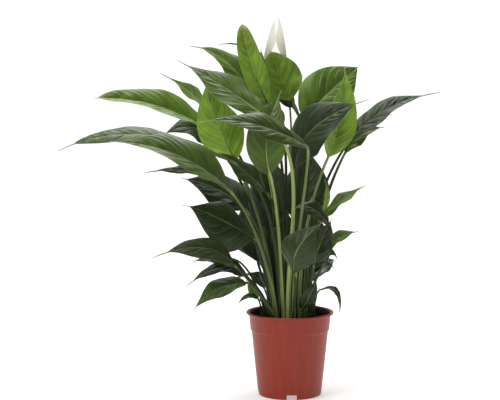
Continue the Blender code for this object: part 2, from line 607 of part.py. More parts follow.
def flower_spike(flower, finish, group):
    """The cream spike, with its florets as knobs raised by a formula, in rows that cross."""
    aim = (flower.tip - flower.base).normalized()
    turn = UP.rotation_difference(aim)
    around = 10
    rows = 12
    mesh = bmesh.new()
    rings = []
    for i in range(rows + 1):
        v = i / rows
        body = SPIKE_RADIUS * min(1, 0.35 + 4 * v) * math.sqrt(max(0.02, 1 - max(0, (v - 0.8) / 0.2) ** 2))
        ring = []
        for k in range(around):
            a = 2 * math.pi * k / around
            knob = 1 + 0.10 * math.cos(math.pi * (i + k))
            local = Vector((math.cos(a), math.sin(a), 0)) * body * knob + UP * (TOUCH + v * SPIKE_LENGTH)
            ring.append(mesh.verts.new(flower.base + turn @ local))
        rings.append(ring)
    for a, b in zip(rings, rings[1:]):
        for k in range(around):
            n = (k + 1) % around
            mesh.faces.new((a[k], a[n], b[n], b[k]))
    mesh.faces.new(list(reversed(rings[0])))
    mesh.faces.new(rings[-1])
    bmesh.ops.triangulate(mesh, faces=mesh.faces)
    bmesh.ops.recalc_face_normals(mesh, faces=mesh.faces)
    data = bpy.data.meshes.new(flower.name + "_spadix")
    mesh.to_mesh(data)
    mesh.free()
    return add_object(data.name, data, finish, group)


def main():
    """Build the whole plant."""
    clear_scene()
    plant = collection("potted_peace_lily")
    pot_cuts = collection("pot_cutters")
    soil_cuts = collection("soil_cutters")

    plastic = material("terracotta_plastic", (0.27, 0.06, 0.04), 0.45)
    peat = material("peat", (0.010, 0.008, 0.007), 0.95)
    green = material("leaf_green", (0.035, 0.075, 0.020), 0.42)
    stalk_green = material("stalk_green", (0.16, 0.26, 0.06), 0.45)
    white = material("spathe_white", (0.78, 0.76, 0.68), 0.55)
    cream = material("spadix_cream", (0.66, 0.60, 0.38), 0.7)

    collars = [row.collar for row in LEAVES] + [flower.base for flower in FLOWERS]
    roots = fan_out(collars)
    leaf_roots = roots[:len(LEAVES)]
    flower_roots = roots[len(LEAVES):]

    pot = turned("pot", pot_profile(), POT_SIDES, plastic, plant)
    notch_cutters(pot_cuts, plastic)
    cut(pot, pot_cuts)

    soil = turned("soil", soil_profile(), SOIL_SIDES, peat, plant)
    pegs = [(root.x, root.y, row.stalk * 1.25) for row, root in zip(LEAVES, leaf_roots)]
    pegs += [(root.x, root.y, FLOWER_STALK) for root in flower_roots]
    root_cutters(pegs, soil_cuts)
    cut(soil, soil_cuts)

    blades = [blade_rings(row, number) for number, row in enumerate(LEAVES)]
    trees = [tree_of(rings) for rings, _ in blades]
    placed = []
    for flower, root in zip(FLOWERS, flower_roots):
        path = flower_path(flower, root)
        frames = carried_frames(path, 0, Vector((0, -1, 0)))
        placed.append(tree_of([stalk_section(p, side, normal, FLOWER_STALK)
                               for p, (_, side, normal) in zip(path, frames)]))
    for number, (row, root) in enumerate(zip(LEAVES, leaf_roots)):
        others = placed + trees[:number] + trees[number + 1:]
        push = bent_clear(row, root, others)
        stalk = stalk_rings(row, root, push)
        placed.append(tree_of(stalk + blades[number][0][:1]))
        loft(row.name, stalk + blades[number][0], blades[number][1], green, plant)
    for flower, root in zip(FLOWERS, flower_roots):
        flower_stalk(flower, root, stalk_green, plant)
        flower_hood(flower, white, plant)
        flower_spike(flower, cream, plant)

    for group in (pot_cuts, soil_cuts):
        for obj in group.objects:
            obj.hide_render = True
            obj.display_type = "WIRE"


main()
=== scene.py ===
# %% [markdown]
# # A potted peace lily
# A peace lily sends up its leaves one by one from a short hidden stem. Each has a long stalk
# and a pointed, glossy blade with a sunk midrib. This script gives a finished model of such a
# plant its looks: fine leaves in place of the plain solids, a moulded pot, peat, two flowers,
# and a plain studio round it. Everything lies where the solids lie, in metres, with +Z up.

import json
import math
import random
from collections import namedtuple

import bpy
import numpy as np
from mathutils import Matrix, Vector, noise
from mathutils.bvhtree import BVHTree

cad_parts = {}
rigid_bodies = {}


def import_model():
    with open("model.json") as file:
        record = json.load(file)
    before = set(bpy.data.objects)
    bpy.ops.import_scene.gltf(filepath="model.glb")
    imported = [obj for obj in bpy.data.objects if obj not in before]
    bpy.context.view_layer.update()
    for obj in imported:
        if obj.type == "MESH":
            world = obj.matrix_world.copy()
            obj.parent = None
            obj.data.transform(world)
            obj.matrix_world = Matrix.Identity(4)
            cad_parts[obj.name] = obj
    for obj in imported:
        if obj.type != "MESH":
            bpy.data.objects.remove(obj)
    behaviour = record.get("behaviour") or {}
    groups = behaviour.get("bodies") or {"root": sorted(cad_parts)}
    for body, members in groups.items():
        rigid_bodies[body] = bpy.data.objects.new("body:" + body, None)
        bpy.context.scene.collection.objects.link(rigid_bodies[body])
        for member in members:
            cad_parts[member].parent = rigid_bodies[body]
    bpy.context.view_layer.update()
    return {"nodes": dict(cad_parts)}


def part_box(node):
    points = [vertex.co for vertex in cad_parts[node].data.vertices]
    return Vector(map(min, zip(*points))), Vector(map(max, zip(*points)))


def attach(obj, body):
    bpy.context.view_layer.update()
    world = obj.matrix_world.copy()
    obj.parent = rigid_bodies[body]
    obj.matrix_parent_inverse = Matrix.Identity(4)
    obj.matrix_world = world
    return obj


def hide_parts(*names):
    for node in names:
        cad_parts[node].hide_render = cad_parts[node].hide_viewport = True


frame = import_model()
MM = 0.001


def put(name, data):
    """A new object in the scene, at the origin."""
    made = bpy.data.objects.new(name, data)
    bpy.context.scene.collection.objects.link(made)
    return made


# %% [markdown]
# ## The camera
# A plant is best seen from a little above its middle, from far off with a long lens, so that
# near leaves don't look bigger than far ones. The camera looks along +Y and is tilted down by
# a few degrees, which shows the mouth of the pot as a flat ellipse. The tilt alone aims it:
# there is no shift and no depth of field, so the same camera serves any view.

# %% The camera
CAMERA_PLACE = (-0.0788, -3.2, 0.704)
CAMERA_TILT = math.radians(5.663)
LENS = 117.9  # mm, on a sensor 36 mm wide

lens = bpy.data.cameras.new("camera")
lens.lens = LENS
lens.sensor_width = 36
camera = put("camera", lens)
camera.location = CAMERA_PLACE
camera.rotation_euler = (math.pi / 2 - CAMERA_TILT, 0, 0)
bpy.context.scene.camera = camera
print("camera:", CAMERA_PLACE, "lens", LENS, "mm")

# %% [markdown]
# ## Helpers for finishes
# Colours are written as sRGB hex, as a colour picker shows them, but shaders mix light, so
# they need linear values. Materials are built as node trees. One function adds any node: it
# takes what goes into each input, either a value, a node whose first output is linked, or a
# node with the name of one of its outputs, and then the node's own settings.

# %% Colour and node helpers
COLOUR = {"data_type": "RGBA"}  # a mix of colours
SMOOTH = {"interpolation_type": "SMOOTHSTEP"}  # a range with soft ends


def linear(code):
    """An sRGB hex colour as linear RGBA."""
    parts = [int(code[i:i + 2], 16) / 255 for i in (1, 3, 5)]
    return (*[c / 12.92 if c <= 0.04045 else ((c + 0.055) / 1.055) ** 2.4 for c in parts], 1)


def fill(tree, node, inputs):
    """Fill a node's inputs, named or numbered, with values or links."""
    for name, value in inputs.items():
        named = [s for s in node.inputs if s.name == name and s.enabled]
        socket = node.inputs[name] if isinstance(name, int) else named[0]
        if isinstance(value, bpy.types.Node):
            value = (value, next(s.name for s in value.outputs if s.enabled))
        if isinstance(value, tuple) and isinstance(value[0], bpy.types.Node):
            source = [s for s in value[0].outputs if s.name == value[1] and s.enabled]
            tree.links.new(source[0], socket)
        else:
            socket.default_value = value


def add(tree, kind, inputs={}, settings={}):
    """Add a shader node, fill its inputs and set its own settings."""
    made = tree.nodes.new("ShaderNode" + kind)
    for name, value in settings.items():
        setattr(made, name, value)
    fill(tree, made, inputs)
    return made


def new_material(name, **inputs):
    """A node material and its shader, with inputs of one value: _ stands for a space."""
    made = bpy.data.materials.new(name)
    made.use_nodes = True
    shader = made.node_tree.nodes["Principled BSDF"]
    fill(made.node_tree, shader, {key.replace("_", " "): value for key, value in inputs.items()})
    return made, made.node_tree, shader


def dress(tree, shader, body, rough, relief, strength, depth):
    """Give a shader its colour, its roughness and a relief of that depth; returns the relief."""
    bump = add(tree, "Bump", {"Height": relief, "Strength": strength, "Distance": depth})
    fill(tree, shader, {"Base Color": body, "Roughness": rough, "Normal": bump})
    return bump


print("mid grey is", [round(c, 3) for c in linear("#808080")[:3]])

# %% [markdown]
# ## The blade's finish
# A peace lily's blade has a waxy skin, the cuticle, over a soft green body. The skin gives a
# broad grey sheen under a bright sky, and the body lets some light through. So the shader is
# a dielectric with the index of plant wax, a middling roughness and a little scattering below
# the surface. Old blades are a deep blue-green, and young ones a light yellow-green. Each
# blade's mesh carries its tone, which is its age raised on blades that catch the light
# (painted light), the number of the side vein at each place, the distance from the midrib and
# the share of the way out to the margin, so that veins and midrib are painted where the relief
# has them, on any size of leaf.

# %% The two skins of a blade
WAX_IOR = 1.40  # plant wax is 1.43; old leaves are duller than clean wax
PORE = 1.5 * MM  # real pores are 0.03 mm wide: this is as fine as the render shows
BLOOM = 0.12  # the dusty bloom on the wax, which greys a blade seen at a slant
MOTTLE = 25 * MM  # from one lighter patch of a blade to the next
FINE_VEINS = 5  # fine veins drawn between two side veins, where the real leaf has 9
STRAW = "#B9B08A"  # a straw colour: of a dried tip, and of a thin pale line drawn along the margin
WORDS = ("tone_and_light", "vein", "rib_mm", "along", "edge", "seed")


def leaf_skin(name, old, young, vein, rib, roughness):
    """One side of a blade: colours by tone (age, with painted light where a blade catches it), of its side
    veins and of its midrib.
    """
    made, tree, shader = new_material(name, IOR=WAX_IOR, Subsurface_Weight=0.12,
                                      Sheen_Weight=BLOOM, Sheen_Roughness=0.35,
                                      Subsurface_Radius=(0.5, 1.0, 0.2),
                                      Subsurface_Scale=1.2 * MM)
    place = add(tree, "TexCoord")
    mottle = add(tree, "TexNoise", {"Vector": (place, "Object"), "Scale": 1 / MOTTLE, "Detail": 3.0})
    pores = add(tree, "TexNoise", {"Vector": (place, "Object"), "Scale": 1 / PORE, "Detail": 2.0})
    tone_and_light, number, rib_mm, along, edge, seed = (
        (add(tree, "Attribute", {}, {"attribute_name": word}), "Fac") for word in WORDS)

    # The body's colour: by tone, its age with painted light, then mottled, with streaks that run
    # with the side veins: noise that is fine across them and coarse along them. The streaks are
    # painted sheen and shade, the light and dark bands that the quilting between the veins gives.
    woven = add(tree, "CombineXYZ", {"X": number, "Y": edge, "Z": seed})
    streaks = add(tree, "TexNoise", {"Vector": woven, "Scale": 1.4, "Detail": 2.5})
    body = add(tree, "Mix", {"Factor": tone_and_light, "A": linear(old), "B": linear(young)}, COLOUR)
    for pattern, dark, light in ((mottle, 0.8, 1.2), (streaks, 0.76, 1.24)):
        shade = add(tree, "MapRange", {"Value": pattern, "From Min": 0.3, "From Max": 0.7,
                                       "To Min": dark, "To Max": light})
        body = add(tree, "Mix", {"Factor": 1.0, "A": body, "B": shade},
                   {**COLOUR, "blend_type": "MULTIPLY"})

    # Side veins: thin lines where the vein number is whole.
    off = add(tree, "Math", {0: number, 1: 0.5}, {"operation": "PINGPONG"})
    line = add(tree, "MapRange",
               {"Value": off, "From Min": 0.02, "From Max": 0.13, "To Min": 0.22, "To Max": 0.0}, SMOOTH)
    body = add(tree, "Mix", {"Factor": line, "A": body, "B": linear(vein)}, COLOUR)

    # The midrib is palest at the base.
    line = add(tree, "MapRange",
               {"Value": rib_mm, "From Min": 0.4, "From Max": 1.7, "To Min": 1.0, "To Max": 0.0},
               SMOOTH)
    fade = add(tree, "MapRange", {"Value": along, "To Min": 0.75, "To Max": 0.2})
    line = add(tree, "Math", {0: line, 1: fade}, {"operation": "MULTIPLY"})
    body = add(tree, "Mix", {"Factor": line, "A": body, "B": linear(rib)}, COLOUR)

    # The drip tip dries to straw, and the very edge is drawn in a thin line of the same colour.
    tip = add(tree, "MapRange",
              {"Value": along, "From Min": 0.9, "From Max": 0.98, "To Max": 0.7}, SMOOTH)
    rim = add(tree, "MapRange", {"Value": edge, "From Min": 0.97, "To Max": 0.3}, SMOOTH)
    straw_tip_and_pale_edge = add(tree, "Math", {0: tip, 1: rim}, {"operation": "MAXIMUM"})
    body = add(tree, "Mix", {"Factor": straw_tip_and_pale_edge, "A": body, "B": linear(STRAW)}, COLOUR)

    # The wax is patchy, and fine veins and pores show in its relief.
    patchy = add(tree, "MapRange", {"Value": mottle, "From Min": 0.3, "From Max": 0.7,
                                    "To Min": roughness - 0.05, "To Max": roughness + 0.07})
    wave = add(tree, "Math", {0: number, 1: math.tau * FINE_VEINS}, {"operation": "MULTIPLY"})
    wave = add(tree, "Math", {0: wave}, {"operation": "SINE"})
    relief = add(tree, "Math", {0: wave, 1: 0.15, 2: pores}, {"operation": "MULTIPLY_ADD"})
    dress(tree, shader, body, patchy, relief, 0.35, 0.4 * MM)
    return made


# The old colour of the upper side is darker than an old blade is: it is also painted shade for the crowded
# middle of the plant.
UPPER_SKIN = leaf_skin("leaf_upper_waxed", "#1E2D11", "#80A22C", "#2A3D1C", "#93AA60", 0.42)
LOWER_SKIN = leaf_skin("leaf_lower_matt", "#2A3C1E", "#86A83C", "#4E6C3E", "#8FA860", 0.50)
print("blade finishes:", UPPER_SKIN.name, LOWER_SKIN.name)

# %% [markdown]
# ## The stalk's finish
# The stalk is smooth and firm, with pale strands running up it, and the thin wings of its
# sheath are paler still. Noise that is squeezed along Z gives the strands: they are half a
# millimetre apart on the plant, and drawn wider so that they show. The stalk's greens are
# drawn near black, as painted shade for stalks among the leaves, and stalks that catch the
# light are drawn paler, which is painted light.

# %% The stalk
STALK_IOR = 1.36  # the stalk is less waxed than the blade
STRAND = 1.6 * MM  # width of a drawn strand


def stalk_skin(name, dark, light, pale):
    """A stalk's finish: strands from dark to light, paler by its pallor, which is partly painted light, and
    at its wings and joint.
    """
    made, tree, shader = new_material(name, IOR=STALK_IOR, Subsurface_Weight=0.15,
                                      Subsurface_Radius=(0.6, 1.0, 0.3),
                                      Subsurface_Scale=1.5 * MM)
    place = add(tree, "TexCoord")
    squeezed = add(tree, "Mapping", {"Vector": (place, "Object"), "Scale": (1, 1, 0.03)})
    strands = add(tree, "TexNoise", {"Vector": squeezed, "Scale": 1 / STRAND, "Detail": 2.0})
    share = add(tree, "MapRange", {"Value": strands, "From Min": 0.35, "From Max": 0.65})
    body = add(tree, "Mix", {"Factor": share, "A": linear(dark), "B": linear(light)}, COLOUR)
    tone_and_light, edge = ((add(tree, "Attribute", {}, {"attribute_name": word}), "Fac")
                 for word in ("tone_and_light", "edge"))
    pallor_and_light = add(tree, "Math",
                 {0: edge, 1: 0.5, 2: tone_and_light}, {"operation": "MULTIPLY_ADD", "use_clamp": True})
    pallor_and_light = add(tree, "Math", {0: pallor_and_light, 1: 0.85}, {"operation": "MULTIPLY"})
    body = add(tree, "Mix", {"Factor": pallor_and_light, "A": body, "B": linear(pale)}, COLOUR)
    rough = add(tree, "MapRange", {"Value": strands, "To Min": 0.5, "To Max": 0.65})
    dress(tree, shader, body, rough, strands, 0.3, 0.3 * MM)
    return made


# The near black greens are painted shade of the stalks among the leaves.
STALK_SKIN = stalk_skin("leaf_stalk_smooth", "#151E0F", "#2C3C1A", "#B4C478")
print("stalk finish:", STALK_SKIN.name)

# %% [markdown]
# ## The leaves
# Leaves could be scattered by chance, but a plant that is looked at for itself wants each of
# its leaves placed. The table says for every leaf where its stalk ends (collar), where the
# middle and tip of its midrib are, how wide the blade is and which way its upper side faces.
# fold lifts both halves into a V, curl turns the margins down, ripple waves them and twist
# turns the blade from collar to tip. tail is the share that is drawn out into a thin tip,
# neck the share of the stalk that bends over, and taper how hollow the sides are towards the
# tip. The solids come from the same table, so each fine leaf lies in its solid.

# %% The table of leaves
Leaf = namedtuple("Leaf", "name rib width faces fold curl ripple twist tail stalk neck taper")


def midrib(start, middle, end):
    """The handles of a curve that passes through its middle."""
    return [start, middle * 2 - (start + end) / 2, end]


def leaf(name, collar, middle, tip, width, faces, fold=18, curl=28, ripple=4, twist=0,
         tail=0.05, stalk=3, neck=0.3, taper=1.3):
    """One row of the table: lengths in mm and angles in degrees."""
    rib = midrib(*(Vector(place) * MM for place in (collar, middle, tip)))
    return Leaf("leaf_" + name, rib, width * MM, Vector(faces), math.radians(fold),
                math.radians(curl), ripple * MM, math.radians(twist), tail, stalk * MM, neck, taper)


LEAVES = [
    # The tall ones at the top left.
    leaf("top_1", (-147, 30, 505), (-249, 0, 568), (-381, -20, 588), 76, (-10, -55, 83),
         fold=34, curl=22, twist=-20, tail=0.03, taper=0.7),
    leaf("top_2", (-155, 80, 552), (-203, 80, 600), (-258, 70, 634), 52, (45, 50, 72), tail=0.14),
    leaf("top_3", (-48, -85, 553), (-132, -80, 613), (-218, -70, 662), 82, (25, -62, 74),
         fold=12, curl=22, tail=0.1, stalk=3.5),
    leaf("top_4", (-75, 35, 598), (-133, 20, 664), (-196, 10, 688), 70, (30, -60, 74), tail=0.12),
    leaf("top_5", (-106, -20, 465), (-146, -35, 547), (-165, -45, 620), 92, (-15, -97, 15),
         fold=-20, curl=-6, taper=1.1),
    leaf("top_6", (-46, 8, 578), (-79, 0, 662), (-94, 0, 732), 50, (10, -99, 10),
         fold=22, curl=10, ripple=2, tail=0.02, taper=0.45),
    leaf("top_7", (-51, 55, 545), (-55, 65, 616), (-57, 60, 686), 56, (10, -95, 25), tail=0.04),
    leaf("top_8", (-52, 95, 650), (-90, 95, 686), (-143, 95, 691), 42, (5, 10, 100), tail=0.14),
    # The long ones at the left.
    leaf("left_1", (-118, -130, 419), (-218, -170, 489), (-338, -170, 513), 100, (15, -52, 84),
         fold=30, curl=26),
    leaf("left_2", (-121, -75, 472), (-292, -95, 521), (-443, -100, 491), 74, (0, -30, 95),
         fold=18, curl=36, twist=-50, tail=0.1, taper=0.7),
    leaf("left_3", (-48, -30, 406), (-92, -42, 449), (-145, -48, 488), 56, (30, -60, 74)),
    leaf("left_4", (-135, 70, 481), (-190, 70, 525), (-254, 60, 510), 74, (0, -60, 80)),
    leaf("left_5", (-141, -45, 428), (-200, -55, 450), (-282, -60, 446), 38, (0, -50, 87), tail=0.14),
    leaf("left_6", (-87, 0, 367), (-140, 10, 405), (-213, 10, 429), 80, (20, -80, 56)),
    leaf("left_7", (-72, -52, 319), (-155, -96, 369), (-208, -108, 388), 112, (-20, -75, 62),
         fold=-8, curl=22, tail=0.08),
    # The low ones at the left.
    leaf("low_1", (-109, -107, 274), (-173, -138, 310), (-264, -148, 292), 64, (0, -66, 75),
         curl=34, tail=0.16),
    leaf("low_2", (-112, -60, 278), (-150, -70, 281), (-189, -80, 276), 30, (0, -70, 70), stalk=2.2),
    leaf("low_3", (-85, -50, 243), (-133, -70, 264), (-202, -80, 228), 42, (0, -55, 83),
         twist=35, tail=0.1, stalk=2.4),
    leaf("low_4", (-85, -90, 236), (-138, -120, 230), (-188, -130, 188), 46, (-20, -75, 62),
         twist=-15, stalk=2.4),
    leaf("low_5", (-58, -35, 193), (-80, -48, 204), (-102, -60, 191), 19, (0, -50, 87),
         ripple=1, stalk=1.8),
    leaf("low_6", (-63, -5, 191), (-75, -10, 212), (-87, -10, 230), 22, (20, -90, 30),
         ripple=1, stalk=1.8),
    # The middle.
    leaf("front_1", (29, -128, 500), (-74, -180, 546), (-171, -200, 550), 80, (10, -55, 83),
         fold=20, curl=34, neck=0.05, taper=1.6),
    leaf("front_2", (-40, -55, 442), (-46, -60, 520), (-18, -35, 603), 80, (5, -97, 22),
         fold=16, curl=10),
    leaf("front_3", (76, -20, 340), (38, -28, 375), (3, -28, 370), 42, (0, -60, 80), stalk=2.4),
    leaf("front_4", (-53, 15, 281), (-71, 25, 324), (-87, 25, 372), 44, (10, -90, 40), stalk=2.4),
    leaf("front_5", (5, -100, 256), (12, -130, 308), (59, -120, 357), 78, (-10, -92, 38),
         fold=-18, curl=8),
    leaf("front_6", (45, -60, 268), (58, -70, 312), (80, -70, 359), 50, (20, -90, 38), stalk=2.4),
    # The right.
    leaf("right_1", (5, 90, 580), (-19, 95, 626), (-39, 90, 680), 88, (15, -95, 25),
         fold=26, curl=14, tail=0.04, taper=0.65),
    leaf("right_2", (9, 110, 564), (-17, 115, 598), (-45, 115, 636), 46, (30, -80, 50)),
    leaf("right_3", (30, 35, 541), (69, 60, 588), (144, 105, 650), 108, (38, -80, 46),
         fold=16, curl=26, taper=1),
    leaf("right_4", (8, 10, 451), (46, -12, 529), (149, -60, 587), 110, (-30, -74, 60),
         fold=10, curl=20, tail=0.12),
    leaf("right_5", (75, 14, 470), (101, 12, 557), (107, 10, 649), 68, (30, -95, 10), fold=22, curl=12),
    leaf("right_6", (120, 60, 500), (193, 60, 563), (298, 50, 597), 62, (-35, -55, 76),
         fold=22, curl=30, tail=0.15),
    leaf("right_7", (123, 125, 487), (162, 125, 530), (208, 115, 550), 42, (-40, -10, 90), stalk=2.4),
    leaf("right_8", (113, 92, 473), (147, 92, 511), (191, 90, 525), 40, (-30, -70, 65), stalk=2.6),
    leaf("right_9", (63, 5, 352), (104, 0, 389), (148, 0, 416), 40, (-35, -45, 82), stalk=2.4),
    # The low ones at the right.
    leaf("low_7", (66, 42, 353), (74, 42, 393), (70, 42, 425), 20, (80, -60, 10), ripple=1, stalk=1.8),
    leaf("low_8", (55, -40, 285), (92, -50, 318), (131, -60, 332), 38, (-30, -60, 74), stalk=2.4),
    leaf("low_9", (43, 22, 252), (73, 27, 280), (96, 30, 266), 36, (10, -80, 58), stalk=2.2),
    leaf("low_10", (40, 50, 229), (66, 55, 253), (92, 60, 243), 24, (0, -50, 87), ripple=1, stalk=1.8),
    leaf("low_11", (22, -45, 178), (38, -55, 207), (52, -50, 237), 38, (50, -84, 20),
         ripple=2, stalk=2.2),
    leaf("low_12", (63, 30, 205), (92, 20, 203), (100, 10, 160), 16, (40, -50, 77), ripple=1, stalk=1.8),
    # The back, which is as full as the front.
    leaf("back_1", (-79, 132, 348), (-128, 197, 393), (-191, 267, 393), 74, (-30, 10, 95)),
    leaf("back_2", (30, 120, 320), (37, 145, 400), (38, 178, 490), 104, (12, -92, 36)),
    leaf("back_3", (24, 85, 225), (40, 108, 300), (47, 132, 380), 92, (12, -92, 35)),
    leaf("back_4", (-60, 110, 250), (-102, 175, 298), (-155, 235, 313), 70, (-30, 20, 93)),
    leaf("back_5", (-10, 60, 200), (-6, 78, 280), (-6, 105, 368), 90, (0, -95, 28)),
    leaf("back_6", (-34, 130, 500), (-52, 180, 565), (-79, 240, 600), 80, (20, -30, 93)),
    leaf("back_7", (42, 75, 212), (68, 135, 245), (103, 195, 240), 58, (10, -20, 97)),
    leaf("back_8", (-50, 80, 200), (-80, 120, 222), (-120, 150, 195), 44, (-30, 30, 90), stalk=2.2),
    leaf("back_9", (-63, 80, 253), (-71, 103, 331), (-79, 130, 407), 80, (-10, -94, 33)),
    leaf("back_10", (-30, 130, 315), (-36, 153, 392), (-44, 182, 480), 96, (5, -94, 34)),
]
print("leaves:", len(LEAVES))

# %% [markdown]
# ## Curves that carry a section
# Stalk and blade are both made by carrying a section along a curve. A Bezier curve bends as
# a stalk under its own weight does. Frames are carried along it: at each step the last one is
# turned as little as the curve allows, so that nothing twists by accident. numpy does this
# for all the points at once, where a sculpted or hand-made mesh would be slow to change.

# %% Curve, frame and outline
DRIP_TIP = 0.9 * MM  # half width of the thread that a blade ends in
WIDEST = 0.40  # where along it a blade is widest
ROUND_BASE = 0.65  # the lower, the rounder a blade begins
FINE = 160  # points on a curve
UP = Vector((0, 0, 1))


def curve_through(handles, count=FINE):
    """Evenly spaced points on a Bezier curve, and its length."""
    t = np.linspace(0, 1, 4 * count + 1)[:, None]
    layer = [np.array(p)[None, :] for p in handles]
    while len(layer) > 1:
        layer = [(1 - t) * a + t * b for a, b in zip(layer, layer[1:])]
    run = np.concatenate([[0], np.cumsum(np.linalg.norm(np.diff(layer[0], axis=0), axis=1))])
    even = np.linspace(0, run[-1], count + 1)
    return np.stack([np.interp(even, run, layer[0][:, k]) for k in range(3)], 1), run[-1]


def unit(v):
    """Vectors made one long."""
    return v / np.linalg.norm(v, axis=-1, keepdims=True)


def carried_frames(points, start, faces):
    """Side and normal at each point, the normal at start turned towards faces."""
    faces = np.array(faces)
    tangent = unit(np.gradient(points, axis=0))
    normal = np.zeros_like(points)
    normal[start] = unit(faces - tangent[start] * (tangent[start] @ faces))
    for step, order in ((1, range(start + 1, len(points))), (-1, range(start - 1, -1, -1))):
        for i in order:
            last = normal[i - step]
            normal[i] = unit(last - tangent[i] * (tangent[i] @ last))
    return np.cross(tangent, normal), normal


def at(share, table):
    """A table of vectors read at shares of its length, given as an array of any shape."""
    spots = np.clip(share, 0, 1) * (len(table) - 1)
    columns = [np.interp(spots, np.arange(len(table)), table[:, k]) for k in range(3)]
    return np.stack(columns, -1)


def smooth(t):
    """0 to 1 without corners."""
    t = np.clip(t, 0, 1)
    return t * t * (3 - 2 * t)


def outline(u, tail, taper):
    """Half width of a blade, as a share of its greatest: round at the base, drawn out at the tip."""
    v = np.clip(u / (1 - tail), 0, 1)
    base = np.sin(np.pi / 2 * np.minimum(v / WIDEST, 1)) ** ROUND_BASE
    return base * np.cos(np.pi / 2 * np.maximum(v - WIDEST, 0) / (1 - WIDEST)) ** taper


def folded(fold, curl, out):
    """How half a blade rises by its fold and bends over, evenly, by its curl."""
    first = fold + curl / 2
    angle = first - 2 * curl * out
    reach = (math.sin(first) - np.sin(angle)) / (2 * curl)
    return angle, reach, (np.cos(angle) - math.cos(first)) / (2 * curl)


def level(turn):
    """A level vector, one long, that points this way round."""
    return Vector((math.cos(turn), math.sin(turn), 0))


def ringed(path, across, along, radius, turn):
    """Points round a path, at a radius and a turn for each."""
    return (path[:, None, :] + across[:, None, :] * (radius * np.cos(turn))[..., None]
            + along[:, None, :] * (radius * np.sin(turn))[..., None])


path, length = curve_through(LEAVES[0].rib)
print("the first blade is", round(length * 1000), "mm long")

# %% [markdown]
# ## The blade
# A real blade is a thin sheet with a V down its middle, side veins that are sunk above and
# raised below, and a waved margin. It could be a flat sheet with a bump map, but the light on
# a peace lily lives on the soft quilting between the veins, so that is in the mesh. The rows
# of the mesh run along the side veins: they leave the midrib and sweep towards the tip. So
# each vein is one row of edges, and five rows from vein to vein are enough.

# %% Rows that run along the side veins
VEIN_PITCH = 10 * MM  # from one side vein to the next at the midrib
ROWS_PER_VEIN = 5
VEIN_SWEEP = 1.5  # how far a vein runs to the tip for each step outward
LARGEST_SWEEP = 0.34  # the same as a share of the blade's length, so that no rows cross
VEIN_DEPTH = 0.7 * MM
CRINKLE = 1.1 * MM  # how far the blade swells and sinks between its veins
SKIN = 0.45 * MM  # thickness of the blade between its veins
VEIN_RISE = 0.25 * MM  # how far a vein stands out below
GROOVE_WIDTH = 1.3 * MM  # the midrib's groove above
GROOVE_DEPTH = 0.5 * MM
KEEL = 0.7 * MM  # how far the midrib stands out below at the tip
WAVES = 11  # radians that the margin waves through along a blade, as on the solid
FINE_WAVES = 37
OUT = np.array([0, 0.025, 0.07, 0.15, 0.27, 0.41, 0.56, 0.71, 0.85, 0.95, 1.0])


def blade_rows(row, number, length):
    """Where the rows of a blade's mesh lie: shares of its length and of its half width."""
    veins = max(7, round(length / VEIN_PITCH))
    steps = np.arange(veins * ROWS_PER_VEIN + 1) / ROWS_PER_VEIN
    start = steps / veins
    for k in (1, 2, 3):
        start = start + 0.25 / veins / k * np.sin(2 * k * start * math.pi * 3 + number * k)
    start = np.clip((start - start[0]) / (start[-1] - start[0]), 0, 1)[:, None]
    across = np.concatenate([-OUT[:0:-1], OUT])[None, :]
    reach = min(VEIN_SWEEP * row.width / 2 / length, LARGEST_SWEEP)
    u = np.clip(start + reach * outline(start, row.tail, 1.3) * np.abs(across) ** 1.3, 0, 1)
    return u, np.broadcast_to(across, u.shape), np.broadcast_to(steps[:, None], u.shape)


